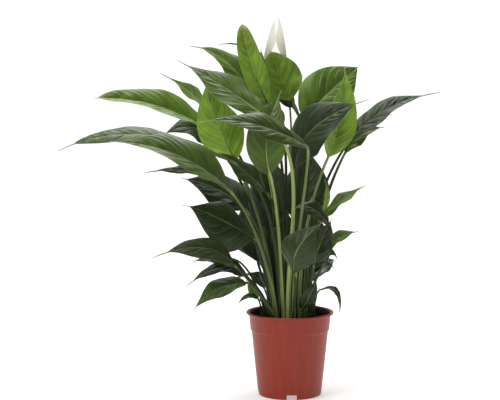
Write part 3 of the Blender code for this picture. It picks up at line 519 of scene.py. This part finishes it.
def blade_points(row, number):
    """The upper and lower points of a blade, as grids, with what its finish reads."""
    path, length = curve_through(row.rib)
    side, normal = carried_frames(path, FINE // 2, row.faces)
    u, s, vein = blade_rows(row, number, length)
    out = np.abs(s)
    hand = np.sign(s)
    middle, side, normal = at(u, path), at(u, side), at(u, normal)
    turn = (row.twist * (u - 0.5))[..., None]
    side, normal = (side * np.cos(turn) - normal * np.sin(turn),
                    normal * np.cos(turn) + side * np.sin(turn))

    size = outline(u, row.tail, row.taper)
    half = np.maximum(row.width / 2 * size, DRIP_TIP * (1 - 0.7 * smooth((u - 0.9) / 0.1)))
    angle, reach, lift = folded(row.fold, row.curl, out)

    # The margin's waves are the same as the solid's, with finer ones of its own.
    phase = 2.4 * number + WAVES * u
    wave = np.where(s < 0, np.sin(phase), np.sin(phase * 1.13 + 2)) * row.ripple * size
    fine = np.sin(FINE_WAVES * u + number + 1.7 * hand) * 0.5 * MM * size
    wave = wave * out ** 1.74 + fine * out ** 3

    # Veins are sunk above. Between them the blade swells.
    dip = (0.5 + 0.5 * np.cos(math.tau * vein)) ** 1.5
    dip = dip * (0.75 + 0.25 * np.sin(2.3 * vein + number))
    swell = np.sin(2.1 * vein + 3.5 * s + number) * np.sin(0.8 * vein - 4.5 * s + 2 * number)
    strength = smooth(out / 0.12) * (1 - out ** 5) * np.minimum(1, row.width * size / (40 * MM))
    strength = strength * smooth(u / 0.08) * (1 - smooth((u - 0.8) / 0.15))
    groove = np.exp(-(s * half / GROOVE_WIDTH) ** 2) * GROOVE_DEPTH * smooth(u / 0.05)
    height = lift * half + wave + (swell * CRINKLE - dip * VEIN_DEPTH) * strength - groove
    upper = middle + side * (hand * reach * half)[..., None] + normal * height[..., None]

    # The lower side follows, with a keel under the midrib and raised veins.
    lean = angle[..., None]
    away = normal * np.cos(lean) - side * hand[..., None] * np.sin(lean)
    keel = np.exp(-(s * half / (0.4 * row.stalk + 0.8 * MM)) ** 2)
    keel = keel * (KEEL + row.stalk * 0.7 * (1 - u))
    thick = SKIN * (1 - 0.35 * out ** 2) + keel + dip * strength * VEIN_RISE
    lower = upper - away * thick[..., None]
    facts = {"vein": vein, "edge": out, "rib_mm": out * half / MM, "along": u}
    return upper, lower, facts


upper, lower, facts = blade_points(LEAVES[0], 0)
print("the first blade has", upper.shape[0], "rows of", upper.shape[1], "points a side")

# %% [markdown]
# ## The stalk
# The stalk is round at the top and has a pale swollen joint just under the blade, where the
# leaf can turn to the light. Its lower part is a sheath: a gutter with two thin wings, which
# once wrapped the next younger leaf. A plain tube would miss both, so the radius is a
# function of the height and of the way round. The solid's stalk may be bowed aside to pass
# its neighbours, and the same bow is found here by trying each one against the solid.

# %% The line of a stalk, found from its solid
ROOT_DEPTH = 14 * MM
BOWS = [Vector((0, 0, 0))]
BOWS += [level(math.pi * k / 6) * size * MM for size in (8, 16, 26, 38) for k in range(12)]


def root_of(name):
    """The middle of the lowest ring of a solid, where it stands in the soil."""
    spots = np.array([v.co for v in frame["nodes"][name].data.vertices])
    low = spots[spots[:, 2] < spots[:, 2].min() + 1 * MM]
    return Vector((low[:, 0].min() + low[:, 0].max(), low[:, 1].min() + low[:, 1].max(),
                   2 * low[:, 2].min())) / 2


def stalk_handles(row, root, bow):
    """The Bezier handles of a stalk from the soil up to its collar."""
    foot = root + UP * (ROOT_DEPTH + 2 * MM)
    collar, bend, _ = row.rib
    rise = collar.z - foot.z
    neck = collar - (bend - collar).normalized() * rise * row.neck
    return [foot, foot + UP * rise * 0.36 + bow, neck + bow * 0.6, collar]


def bow_of(row, root):
    """The bow whose line runs through the middle of the solid's stalk."""
    mesh = frame["nodes"][row.name].data
    tree = BVHTree.FromPolygons([v.co for v in mesh.vertices], [p.vertices for p in mesh.polygons])
    tried = []
    for bow in BOWS:
        points, _ = curve_through(stalk_handles(row, root, bow), 8)
        tried.append(sum(tree.find_nearest(Vector(p))[3] for p in points[1:-1]))
    return BOWS[int(np.argmin(tried))]


root = root_of("leaf_top_1")
print("the first stalk stands at", [round(x, 3) for x in root], "bowed by", bow_of(LEAVES[0], root))

# %% [markdown]
# The section has twenty points. On the side that faces the blade's upper side lie the two
# wings, low down, and a shallow channel between them that runs all the way up.

# %% The stalk's skin
AROUND = 20
SHEATH_TOP = 0.45  # the share of the stalk that has wings


def stalk_points(row, root, bow):
    """Rings of points round a stalk and the start of its midrib, with what its finish reads."""
    stalk, _ = curve_through(stalk_handles(row, root, bow), 44)
    blade, _ = curve_through(row.rib)
    under = FINE // 3
    path = np.concatenate([np.array(root)[None, :], stalk, blade[4:under:4]])
    start = len(stalk)
    side, normal = carried_frames(path, start, row.faces)
    share = np.clip((np.arange(len(path)) - 1) / (start - 1), 0, 1)[:, None]
    past = (np.clip(np.arange(len(path)) - start, 0, None) * 4 / FINE)[:, None]
    radius = row.stalk * (1.25 - 0.45 * share) * (1 - 0.85 * smooth(past * FINE / under))
    joint = np.exp(-((share - 0.965) / 0.022) ** 2) * (past == 0)
    radius = radius * (1 + 0.14 * joint)
    turn = np.linspace(-math.pi, math.pi, AROUND + 1)[None, :-1]
    wings = smooth((SHEATH_TOP - share) / 0.25) * smooth(share / 0.03)
    wing = np.exp(-((np.abs(turn) - 0.75) / 0.20) ** 2) * wings
    channel = np.exp(-(turn / 0.42) ** 2) * smooth(share / 0.05) * (past == 0)
    around = radius * (1 + 0.55 * wing - (0.16 + 0.3 * wings) * channel)
    centre = path - normal * (radius * smooth(past / 0.06))
    edge = np.maximum(wing, 0.55 * joint + 0 * turn)
    return ringed(centre, normal, side, around, turn), {"edge": edge, "along": share + 0 * turn}


points, _ = stalk_points(LEAVES[0], root, bow_of(LEAVES[0], root))
print("a stalk has", points.shape[0], "rings of", points.shape[1])

# %% [markdown]
# ## Putting a leaf together
# Blade and stalk go into one mesh object for each leaf, as one leaf is one piece of the
# plant. Each is a closed skin. A grid helper turns rows of points into quads. The attributes
# that the finishes read are stored on the mesh's points.

# %% From grids to a mesh
SHARP = math.radians(55)  # edges bent by more than this stay sharp


def grid_faces(rows, columns, first=0, ring=False, flip=False):
    """Quads between rows of points numbered from first; a ring joins its last to its first."""
    last = columns if ring else columns - 1
    i, j = np.meshgrid(np.arange(rows - 1), np.arange(last), indexing="ij")
    n = (j + 1) % columns
    quads = np.stack([i * columns + j, i * columns + n, (i + 1) * columns + n,
                      (i + 1) * columns + j], -1).reshape(-1, 4) + first
    return (quads[:, ::-1] if flip else quads).tolist()


def sheet_faces(rows, columns):
    """Faces of a closed thin sheet: an upper grid, a lower grid after it, and its rim."""
    below = rows * columns
    loop = [(0, j) for j in range(columns)] + [(i, columns - 1) for i in range(1, rows)]
    loop += [(rows - 1, j) for j in range(columns - 2, -1, -1)] + [(i, 0) for i in range(rows - 2, 0, -1)]
    ids = [i * columns + j for i, j in loop]
    rim = [(b, a, below + a, below + b) for a, b in zip(ids, ids[1:] + ids[:1])]
    return grid_faces(rows, columns), grid_faces(rows, columns, below, flip=True), rim


def tube_faces(rings, around, first=0):
    """Faces of a closed tube: a grid of rings and its two ends."""
    last = first + (rings - 1) * around
    ends = [list(range(first, first + around))[::-1], list(range(last, last + around))]
    return grid_faces(rings, around, first, ring=True) + ends


def make_piece(node, verts, faces, finishes, facts, kinds=None):
    """One mesh object in place of a node, with its finishes, attributes and place in the frame."""
    mesh = bpy.data.meshes.new(node + "_fine")
    mesh.from_pydata(verts.tolist(), [], faces)
    for finish in finishes:
        mesh.materials.append(finish)
    if kinds:
        mesh.polygons.foreach_set("material_index", kinds)
    for word, values in facts.items():
        attribute = mesh.attributes.new(word, "FLOAT", "POINT")
        attribute.data.foreach_set("value", np.asarray(values, np.float32).ravel())
    mesh.shade_smooth()
    mesh.set_sharp_from_angle(angle=SHARP)
    mesh.validate()
    piece = put(node + "_fine", mesh)
    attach(piece, "root")
    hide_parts(node)
    return piece


def make_leaf(row, number, tone_and_light, pallor_and_light):
    """A fine leaf in place of its solid, with its blade's tone, which is its age with painted light added,
    and how pale its stalk is, partly painted light.
    """
    root = root_of(row.name)
    upper, lower, facts = blade_points(row, number)
    tube, tube_facts = stalk_points(row, root, bow_of(row, root))
    rows, columns = upper.shape[:2]
    verts = np.concatenate([upper.reshape(-1, 3), lower.reshape(-1, 3), tube.reshape(-1, 3)])
    top, under, rim = sheet_faces(rows, columns)
    first = 2 * rows * columns
    skin = tube_faces(len(tube), AROUND, first)
    kinds = [0] * len(top) + [1] * (len(under) + len(rim)) + [2] * len(skin)
    told = {}
    for word in WORDS:
        sheet = facts.get(word, np.zeros((rows, columns))).ravel()
        stalk = tube_facts.get(word, np.zeros(tube.shape[:2])).ravel()
        told[word] = np.concatenate([sheet, sheet, stalk])
    told["seed"] += 3.7 * number
    told["tone_and_light"][:first] = tone_and_light
    told["tone_and_light"][first:] = pallor_and_light
    return make_piece(row.name, verts, top + under + rim + skin,
                      [UPPER_SKIN, LOWER_SKIN, STALK_SKIN], told, kinds)


# %% [markdown]
# ## All the leaves, each with its age and painted light
# The youngest leaves stand upright in the middle and are bright yellow-green. The oldest hang
# lowest and are darkest. A few are given by name, and the rest differ a little by chance. The
# blades given by name that catch the light have a higher tone than their age alone gives, so
# that part of their lightness is painted light.

# %% Making the leaves
# Tones by name: the age, raised where a blade catches the light, which is painted light.
AGES_AND_LIGHT = dict(top_1=0.36, top_2=0.58, top_3=0.2, top_4=0.3, top_5=0.95, top_6=0.7, top_7=0.5,
            left_1=0.18, left_2=0.12, left_5=0.08, left_6=0, left_7=0.03, low_1=0.04, low_4=0.18,
            low_6=0.8, low_7=0.8, low_8=0.25, front_1=0.1, front_2=0.26, front_5=0.05, front_6=0,
            right_1=0.58, right_3=0.34, right_4=0, right_5=0.9, right_6=0, right_8=0.25,
            right_9=0.33)
# Stalks pale by name have their own paleness and the light they catch: partly painted light.
PALE_AND_LIT_STALKS = dict(top_3=0.95, front_2=0.9, front_1=0.45, right_5=0.6, left_1=0.3, top_5=0.25)
chance = random.Random(7)
made = []
for number, row in enumerate(LEAVES):
    usual = chance.uniform(0.0, 0.06)
    pallor_and_light = chance.uniform(0.0, 0.12)
    called = row.name.removeprefix("leaf_")
    made.append(make_leaf(row, number, AGES_AND_LIGHT.get(called, usual), PALE_AND_LIT_STALKS.get(called, pallor_and_light)))
triangles = sum(len(p.vertices) - 2 for o in made for p in o.data.polygons)
print("leaves made:", len(made), "with", triangles, "triangles")

# %% [markdown]
# ## The pot
# A grower's pot is moulded from polypropylene: a terracotta-coloured outside, a straight
# taper, a collar that lets pots nest, and a rolled rim. A turned profile is the right way to
# make it. The corners of the profile are rounded, as no moulding has a sharp one, and the
# drain notches and holes are cut by a Boolean, as a mould's inserts make them.

# %% The pot's finish
PLASTIC_IOR = 1.43  # polypropylene has 1.49: a rubbed pot reflects a little less
GRAIN = 1.2 * MM  # the plastic's orange peel is 0.3 mm, drawn coarser so that it shows
FLOW = 9 * MM  # width of the faint streaks that the plastic leaves as it flows


def moulded_plastic(name, colour, streak, roughness):
    """Polypropylene as it leaves the mould: satin, with faint upright streaks."""
    made, tree, shader = new_material(name, IOR=PLASTIC_IOR)
    place = add(tree, "TexCoord")
    upright = add(tree, "Mapping", {"Vector": (place, "Object"), "Scale": (1, 1, 0.08)})
    streaks = add(tree, "TexNoise", {"Vector": upright, "Scale": 1 / FLOW, "Detail": 3.0})
    share = add(tree, "MapRange", {"Value": streaks, "From Min": 0.3, "From Max": 0.7})
    body = add(tree, "Mix", {"Factor": share, "A": linear(colour), "B": linear(streak)}, COLOUR)
    peel = add(tree, "TexNoise", {"Vector": (place, "Object"), "Scale": 1 / GRAIN, "Detail": 2.0})
    rough = add(tree, "MapRange",
                {"Value": streaks, "To Min": roughness - 0.06, "To Max": roughness + 0.06})
    dress(tree, shader, body, rough, peel, 0.12, 0.2 * MM)
    return made


TERRACOTTA = moulded_plastic("polypropylene_terracotta_moulded", "#8E2810", "#983217", 0.42)
# The faces inside the pot, above its foot, take a dark brown.
INSIDE = moulded_plastic("polypropylene_inside_dark", "#3A1A14", "#2C1410", 0.5)
print("pot finishes:", TERRACOTTA.name, INSIDE.name)

# %% The pot's section
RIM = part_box("pot")[1].x  # this and FOOT, WALL_TOP, COLLAR and COLLAR_TOP are radii
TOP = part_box("pot")[1].z
WALL = 1.6 * MM
FOOT = 62.5 * MM
FOOT_RISE = 10.5 * MM
PAD_RADIUS = 18 * MM
LEDGE = TOP - 38 * MM
WALL_TOP = 75.8 * MM
COLLAR = 78 * MM
COLLAR_TOP = 80.6 * MM
PLATE_TOP = FOOT_RISE + WALL


def wall_radius(z):
    """Radius of the pot's outer wall between its foot and its collar."""
    return FOOT + (WALL_TOP - FOOT) * z / LEDGE


def rounded(points, radius, steps=3):
    """The same line with each inner corner turned into a small arc."""
    line = [Vector(p) for p in points]
    made = [line[0]]
    for before, corner, after in zip(line, line[1:], line[2:]):
        back = min(radius, (before - corner).length * 0.45, (after - corner).length * 0.45)
        a = corner + (before - corner).normalized() * back
        b = corner + (after - corner).normalized() * back
        for k in range(steps + 1):
            t = k / steps
            made.append(a.lerp(corner, t).lerp(corner.lerp(b, t), t))
    return made + [line[-1]]


foot_inside = FOOT - 6 * MM
outer = [
    (0, 0), (PAD_RADIUS, 0), (PAD_RADIUS + 1 * MM, FOOT_RISE),
    (foot_inside, FOOT_RISE), (foot_inside + 1 * MM, 0),
    (FOOT - 2.5 * MM, 0), (FOOT - 0.4 * MM, 1.6 * MM), (FOOT + 0.3 * MM, 5 * MM),
    (WALL_TOP, LEDGE), (COLLAR, LEDGE + 2.5 * MM),
    (COLLAR_TOP, TOP - 5.5 * MM), (RIM - 1.5 * MM, TOP - 4.5 * MM),
    (RIM, TOP - 3 * MM), (RIM - 0.4 * MM, TOP - 0.6 * MM),
    (RIM - 2 * MM, TOP), (RIM - 5.5 * MM, TOP - 0.8 * MM),
]
inner = [
    (COLLAR_TOP - WALL, TOP - 4 * MM), (COLLAR - WALL, LEDGE + 2 * MM),
    (WALL_TOP - WALL, LEDGE - 1 * MM),
    (wall_radius(PLATE_TOP + 3 * MM) - WALL, PLATE_TOP + 3 * MM),
    (wall_radius(PLATE_TOP) - WALL - 3 * MM, PLATE_TOP), (0, PLATE_TOP),
]
section = rounded([(r, 0, z) for r, z in outer + inner], 1.2 * MM)
print("the pot's section has", len(section), "points, and its rim is", round(2000 * RIM), "mm wide")

# %% Turning and cutting the pot
POT_SIDES = 144
POT_SHARP = math.radians(40)  # edges bent by more than this stay sharp
NOTCHES = 4
NOTCH_WIDTH = 20 * MM
NOTCH_TURN = math.radians(2.5)
NOTCH_DEPTH = 14 * MM
DRAIN_HOLES = 8
DRAIN_RADIUS = 5 * MM
DRAIN_CIRCLE = 40 * MM


def settle(piece):
    """Work an object's modifiers into its mesh."""
    shape = piece.evaluated_get(bpy.context.evaluated_depsgraph_get())
    mesh = bpy.data.meshes.new_from_object(shape)
    piece.modifiers.clear()
    piece.data = mesh


mesh = bpy.data.meshes.new("pot_fine")
mesh.from_pydata(section, [(i, i + 1) for i in range(len(section) - 1)], [])
pot = put("pot_fine", mesh)
screw = pot.modifiers.new("turn", "SCREW")
screw.steps = screw.render_steps = POT_SIDES
screw.use_merge_vertices = True
screw.merge_threshold = 0.02 * MM
screw.use_normal_calculate = True
settle(pot)

cuts = bpy.data.collections.new("pot_cuts")
bpy.context.scene.collection.children.link(cuts)
for k in range(NOTCHES):
    turn = math.tau * k / NOTCHES - math.pi / 2 + NOTCH_TURN
    bpy.ops.mesh.primitive_cube_add(size=1, rotation=(0, 0, turn))
    block = bpy.context.object
    block.scale = (NOTCH_DEPTH, NOTCH_WIDTH, 2 * (FOOT_RISE - 0.4 * MM))
    block.location = level(turn) * (FOOT - 1 * MM)
    cuts.objects.link(block)
for k in range(DRAIN_HOLES):
    place = level(math.tau * (k + 0.5) / DRAIN_HOLES) * DRAIN_CIRCLE + UP * FOOT_RISE
    bpy.ops.mesh.primitive_cylinder_add(vertices=24, radius=DRAIN_RADIUS, depth=8 * MM, location=place)
    cuts.objects.link(bpy.context.object)
boolean = pot.modifiers.new("cut", "BOOLEAN")
boolean.operand_type = "COLLECTION"
boolean.collection = cuts
boolean.solver = "EXACT"
settle(pot)
for cutter in list(cuts.objects):
    bpy.data.objects.remove(cutter, do_unlink=True)
bpy.data.collections.remove(cuts)

pot.data.materials.clear()
pot.data.materials.append(TERRACOTTA)
pot.data.materials.append(INSIDE)
for face in pot.data.polygons:
    away = Vector((face.center.x, face.center.y, 0))
    inward = face.normal.dot(away) < 0 or face.normal.z > 0.9
    reach = min(wall_radius(face.center.z) + 8 * MM - WALL, RIM - 6 * MM)
    inside = away.length < reach and face.center.z > FOOT_RISE + 1 * MM
    face.material_index = int(inward and inside)
pot.data.shade_smooth()
pot.data.set_sharp_from_angle(angle=POT_SHARP)
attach(pot, "root")
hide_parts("pot")
print("pot:", len(pot.data.polygons), "faces")

# %% [markdown]
# ## The soil
# Potting soil is milled peat: near black when moist, with crumbs from dust to pea size and
# pale bits of fibre. The bed is a disc whose points are lifted by noise. Crumbs lie on it as
# small squashed balls, because no bump map gives the ragged edge that crumbs make against
# the stalks.

# %% Peat
CRUMB = 5 * MM
peat, tree, shader = new_material("peat_milled", IOR=1.4)
place = add(tree, "TexCoord")
patches = add(tree, "TexNoise", {"Vector": (place, "Object"), "Scale": 1 / CRUMB, "Detail": 6.0})
colour = add(tree, "Mix", {"Factor": patches, "A": linear("#0E0A08"), "B": linear("#2E241B")}, COLOUR)
dress(tree, shader, colour, 0.95, patches, 0.8, 1.5 * MM)

SOIL_LOW, SOIL_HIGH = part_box("soil")
BED_RINGS = 46
BED_SIDES = 120
CRUMBS = 420
TOUCH = 0.3 * MM
bed_radius = SOIL_HIGH.x - 0.2 * MM


def bed_height(x, y):
    """The soil's surface: level, with humps and hollows of a few millimetres."""
    broad = noise.noise(Vector((x, y, 0)) / (24 * MM)) * 2.2 * MM
    small = noise.noise(Vector((x, y, 0.1)) / (5 * MM)) * 1.6 * MM
    return SOIL_HIGH.z - 0.6 * MM + broad + small


ways = [level(math.tau * k / BED_SIDES) for k in range(BED_SIDES)]
verts = []
for i in range(BED_RINGS + 1):
    for way in ways:
        x, y, _ = way * bed_radius * i / BED_RINGS
        verts.append((x, y, bed_height(x, y)))
side = [(COLLAR - WALL - TOUCH, LEDGE + 2.2 * MM), (WALL_TOP - WALL - TOUCH, LEDGE),
        (wall_radius(PLATE_TOP) - WALL - 3.5 * MM, SOIL_LOW.z)]
for radius, z in side:
    verts += [way * radius + UP * z for way in ways]
bottom = len(verts) - BED_SIDES
faces = grid_faces(BED_RINGS + 1 + len(side), BED_SIDES, ring=True, flip=True)[BED_SIDES:]
faces += [list(range(BED_SIDES, 2 * BED_SIDES)), list(range(bottom, bottom + BED_SIDES))[::-1]]

bpy.ops.mesh.primitive_ico_sphere_add(subdivisions=2, radius=1)
ball = bpy.context.object
ball_verts = [v.co.copy() for v in ball.data.vertices]
ball_faces = [list(p.vertices) for p in ball.data.polygons]
bpy.data.objects.remove(ball, do_unlink=True)
chance = random.Random(11)
for _ in range(CRUMBS):
    out = bed_radius * 0.97 * math.sqrt(chance.random())
    turn = chance.uniform(0, math.tau)
    x, y = out * math.cos(turn), out * math.sin(turn)
    size = CRUMB * chance.uniform(0.15, 0.55)
    spin = chance.uniform(0, math.pi)
    seed = chance.uniform(0, 100)
    first = len(verts)
    for co in ball_verts:
        p = co * (1 + 0.35 * noise.noise(co * 1.3 + Vector((seed, 0, 0))))
        p = Vector((p.x * math.cos(spin) * 1.3, p.y, p.z * 0.75)) * size
        verts.append((x + p.x, y + p.y, bed_height(x, y) + p.z + size * 0.2))
    faces += [[first + k for k in face] for face in ball_faces]
make_piece("soil", np.array(verts), faces, [peat], {})
print("soil:", CRUMBS, "crumbs on a bed", round(2000 * bed_radius), "mm wide")

# %% [markdown]
# ## The flowers
# What looks like a white petal is the spathe, a leaf turned into a hood, and what looks like
# its stamen is the spadix, a spike packed with tiny florets. So the hood is made as a blade
# is, with its own cup and long veins, and the spike is a turned form whose surface rises and
# falls where two sets of spirals cross, which is how the florets are packed.

# %% Finishes of hood and spike
SPATHE_THROUGH = 0.45  # the share of the light that a thin white spathe lets through
white, tree, shader = new_material("spathe_white_petal", IOR=1.42, Subsurface_Weight=0.35,
                                   Subsurface_Radius=(1.0, 0.9, 0.6), Subsurface_Scale=2 * MM)
along, number = ((add(tree, "Attribute", {}, {"attribute_name": word}), "Fac")
                 for word in ("along", "vein"))
green = add(tree, "MapRange",
            {"Value": along, "From Min": 0.0, "From Max": 0.22, "To Min": 0.45, "To Max": 0.0}, SMOOTH)
tip = add(tree, "MapRange", {"Value": along, "From Min": 0.9, "To Max": 0.35}, SMOOTH)
green = add(tree, "Math", {0: green, 1: tip}, {"operation": "MAXIMUM"})
body = add(tree, "Mix", {"Factor": green, "A": linear("#FBFAF2"), "B": linear("#C3CE98")}, COLOUR)
wave = add(tree, "Math", {0: number}, {"operation": "SINE"})
bump = dress(tree, shader, body, 0.5, wave, 0.4, 0.3 * MM)
through = add(tree, "BsdfTranslucent", {"Color": body, "Normal": bump})
share = add(tree, "MixShader", {"Fac": SPATHE_THROUGH, 1: (shader, "BSDF"), 2: (through, "BSDF")})
fill(tree, tree.nodes["Material Output"], {"Surface": share})

cream, tree, shader = new_material("spadix_florets", IOR=1.42, Subsurface_Weight=0.2,
                                   Subsurface_Radius=(1.0, 0.8, 0.4), Subsurface_Scale=1.5 * MM)
# The florets' tops are cream and the hollows between them are darker: painted shade.
tops = (add(tree, "Attribute", {}, {"attribute_name": "edge"}), "Fac")
body = add(tree, "Mix", {"Factor": tops, "A": linear("#B4B06A"), "B": linear("#EFE9CF")}, COLOUR)
fill(tree, shader, {"Base Color": body, "Roughness": 0.65})
FLOWER_STALK_SKIN = stalk_skin("flower_stalk_smooth", "#5E8038", "#8FAE58", "#C3CC8E")
print("flower finishes:", white.name, cream.name)

# %% The hood, the spike and the stalk of each flower
Flower = namedtuple("Flower", "name base tip faces width")
FLOWERS = [
    Flower("flower_left", Vector((-0.046, 0.115, 0.664)), Vector((-0.024, 0.115, 0.751)),
           Vector((0.85, 0.45, 0.20)), 34 * MM),
    Flower("flower_right", Vector((-0.009, 0.135, 0.659)), Vector((-0.025, 0.136, 0.759)),
           Vector((-0.85, 0.45, 0.20)), 36 * MM),
]
FLOWER_STALK = 2.3 * MM
SPIKE_RADIUS = 4.0 * MM
SPIKE_LENGTH = 42 * MM
HOOD_FOLD = math.radians(42)
HOOD_CURL = math.radians(-12)
HOOD_ROWS = 61
HOOD_COLUMNS = 33
STALK_SIDES = 16


def flower_hood(flower):
    """The white hood: a cupped sheet with a drawn-out point."""
    aim = (flower.tip - flower.base).normalized()
    back = -(flower.faces - aim * flower.faces.dot(aim)).normalized()
    foot = flower.base + back * (FLOWER_STALK + TOUCH + 2.4 * MM) - aim * 2 * MM
    middle = flower.base.lerp(flower.tip, 0.5) + back * 7 * MM
    path, _ = curve_through(midrib(foot, middle, flower.tip))
    side, normal = carried_frames(path, FINE // 2, flower.faces)
    u, s = np.meshgrid(np.linspace(0, 1, HOOD_ROWS), np.linspace(-1, 1, HOOD_COLUMNS), indexing="ij")
    half = np.maximum(flower.width / 2 * outline(u, 0.10, 1.3), 0.6 * MM)
    _, reach, lift = folded(HOOD_FOLD, HOOD_CURL, np.abs(s))
    reach = reach * np.sign(s)
    soft = smooth(np.abs(s) / 0.3)
    lift = lift * (0.6 + 0.4 * soft) + 0.02 * np.sin(9 * u + 3 * s) * s * s
    middle, side, normal = at(u, path), at(u, side), at(u, normal)
    upper = middle + side * (reach * half)[..., None] + normal * (lift * half)[..., None]
    lower = upper - normal * (0.5 * MM)
    top, under, rim = sheet_faces(HOOD_ROWS, HOOD_COLUMNS)
    verts = np.concatenate([upper.reshape(-1, 3), lower.reshape(-1, 3)])
    facts = {"along": np.tile(u.ravel(), 2), "vein": np.tile(s.ravel() * 40, 2)}
    faces = top + under + rim
    make_piece(flower.name + "_spathe", verts, faces, [white], facts)


def flower_spike(flower):
    """The spike, with a floret wherever two sets of spirals cross."""
    aim = (flower.tip - flower.base).normalized()
    turn = np.array(UP.rotation_difference(aim).to_matrix())
    rings, around = 70, 40
    v = np.linspace(0, 1, rings)[:, None]
    a = np.linspace(0, math.tau, around + 1)[None, :-1]
    body = SPIKE_RADIUS * (1 - (2 * v - 0.9) ** 2 * 0.2) * np.sqrt(1.02 - v ** 6)
    knob = np.cos(8 * a + 34 * v) * np.cos(5 * a - 34 * v)
    out = body * (1 + 0.10 * knob)
    local = np.stack([out * np.cos(a), out * np.sin(a), TOUCH + v * SPIKE_LENGTH + 0 * a], -1)
    verts = local.reshape(-1, 3) @ turn.T + np.array(flower.base)
    make_piece(flower.name + "_spadix", verts, tube_faces(rings, around), [cream],
               {"edge": 0.5 + 0.5 * knob})


def flower_stalk(flower):
    """The round stalk, from the soil to just under the spike."""
    root = root_of(flower.name + "_stalk")
    rise = flower.base.z - root.z
    aim = (flower.tip - flower.base).normalized()
    foot = root + UP * (ROOT_DEPTH + 2 * MM)
    path, _ = curve_through([foot, foot + UP * rise * 0.4, flower.base - aim * rise * 0.3, flower.base], 60)
    path = np.concatenate([np.array(root)[None, :], path])
    side, normal = carried_frames(path, 0, (0, -1, 0))
    share = np.linspace(0, 1, len(path))[:, None]
    a = np.linspace(0, math.tau, STALK_SIDES + 1)[None, :-1]
    radius = FLOWER_STALK * (1 - 0.15 * share + 0.25 * smooth((share - 0.985) / 0.015)) + 0 * a
    points = ringed(path, side, -normal, radius, a)
    pale = smooth((share - 0.97) / 0.03) * 0.8 + 0 * a
    make_piece(flower.name + "_stalk", points.reshape(-1, 3), tube_faces(len(path), STALK_SIDES),
               [FLOWER_STALK_SKIN], {"edge": pale})


for flower in FLOWERS:
    flower_hood(flower)
    flower_spike(flower)
    flower_stalk(flower)
print("flowers:", len(FLOWERS))

# %% [markdown]
# ## The room
# Plants are shown on white, so that their outline reads. A round sweep does that from every
# side: a pale disc whose edge turns up all round, so that no horizon shows. It is a light
# table of opal acrylic, faintly lit from below, which is why even the shade under the pot is
# pale. One large soft lamp overhead puts the sheen on the upper sides of the leaves, a
# weaker one in front fills them, and a third lights the sweep behind. Soft light also leaves
# the middle of the plant dark, as the leaves shade each other there, and the dark colours of
# old blades and of stalks add painted shade to it.

# %% Floor, lamps and world
TABLE_GLOW = 0.44  # the floor is a light table: opal acrylic, faintly lit from below
paper, tree, shader = new_material("floor_opal_acrylic")
place = add(tree, "TexCoord")
speckle = add(tree, "TexNoise", {"Vector": (place, "Object"), "Scale": 40.0, "Detail": 3.0})
tone = add(tree, "Mix", {"Factor": speckle, "A": linear("#C9C9C8"), "B": linear("#CDCDCC")}, COLOUR)
fill(tree, shader, {"Base Color": tone, "Roughness": 0.9, "Emission Color": linear("#FFFFFF"),
                    "Emission Strength": TABLE_GLOW})

SWEEP_FLOOR = 4.2  # a round sweep: a flat disc whose edge turns up all round
SWEEP_STEPS = 24
SWEEP_RADIUS = 1.5
SWEEP_COLUMNS = 96
line = [(0.001, 0.0)]
for k in range(SWEEP_STEPS + 1):
    turn = math.pi / 2 * k / SWEEP_STEPS
    line.append((SWEEP_FLOOR + SWEEP_RADIUS * math.sin(turn), SWEEP_RADIUS * (1 - math.cos(turn))))
around = [level(math.tau * k / SWEEP_COLUMNS) for k in range(SWEEP_COLUMNS)]
mesh = bpy.data.meshes.new("floor")
mesh.from_pydata([way * radius + UP * z for radius, z in line for way in around], [],
                 grid_faces(len(line), SWEEP_COLUMNS, ring=True, flip=True))
mesh.materials.append(paper)
mesh.shade_smooth()
floor = put("floor", mesh)


def lamp(name, place, aim, size, power):
    """A soft square lamp that looks at a point."""
    light = bpy.data.lights.new(name, "AREA")
    light.shape = "SQUARE"
    light.size = size
    light.energy = power
    made = put(name, light)
    made.location = place
    made.rotation_euler = (Vector(aim) - Vector(place)).to_track_quat("-Z", "Y").to_euler()


lamp("overhead", (-0.1, 0.5, 2.3), (0, 0, 0.4), 1.6, 47)
lamp("key", (-1.0, -1.0, 2.2), (0, 0, 0.45), 1.0, 35)
lamp("backdrop", (0, 2.6, 3.8), (0, 4.6, 0.6), 2.5, 150)

world = bpy.data.worlds.new("white_room")
world.use_nodes = True
fill(world.node_tree, world.node_tree.nodes["Background"], {"Color": linear("#FFFFFF"), "Strength": 0.11})
bpy.context.scene.world = world
bpy.context.scene.view_settings.view_transform = "Standard"
print("lamps: 3")
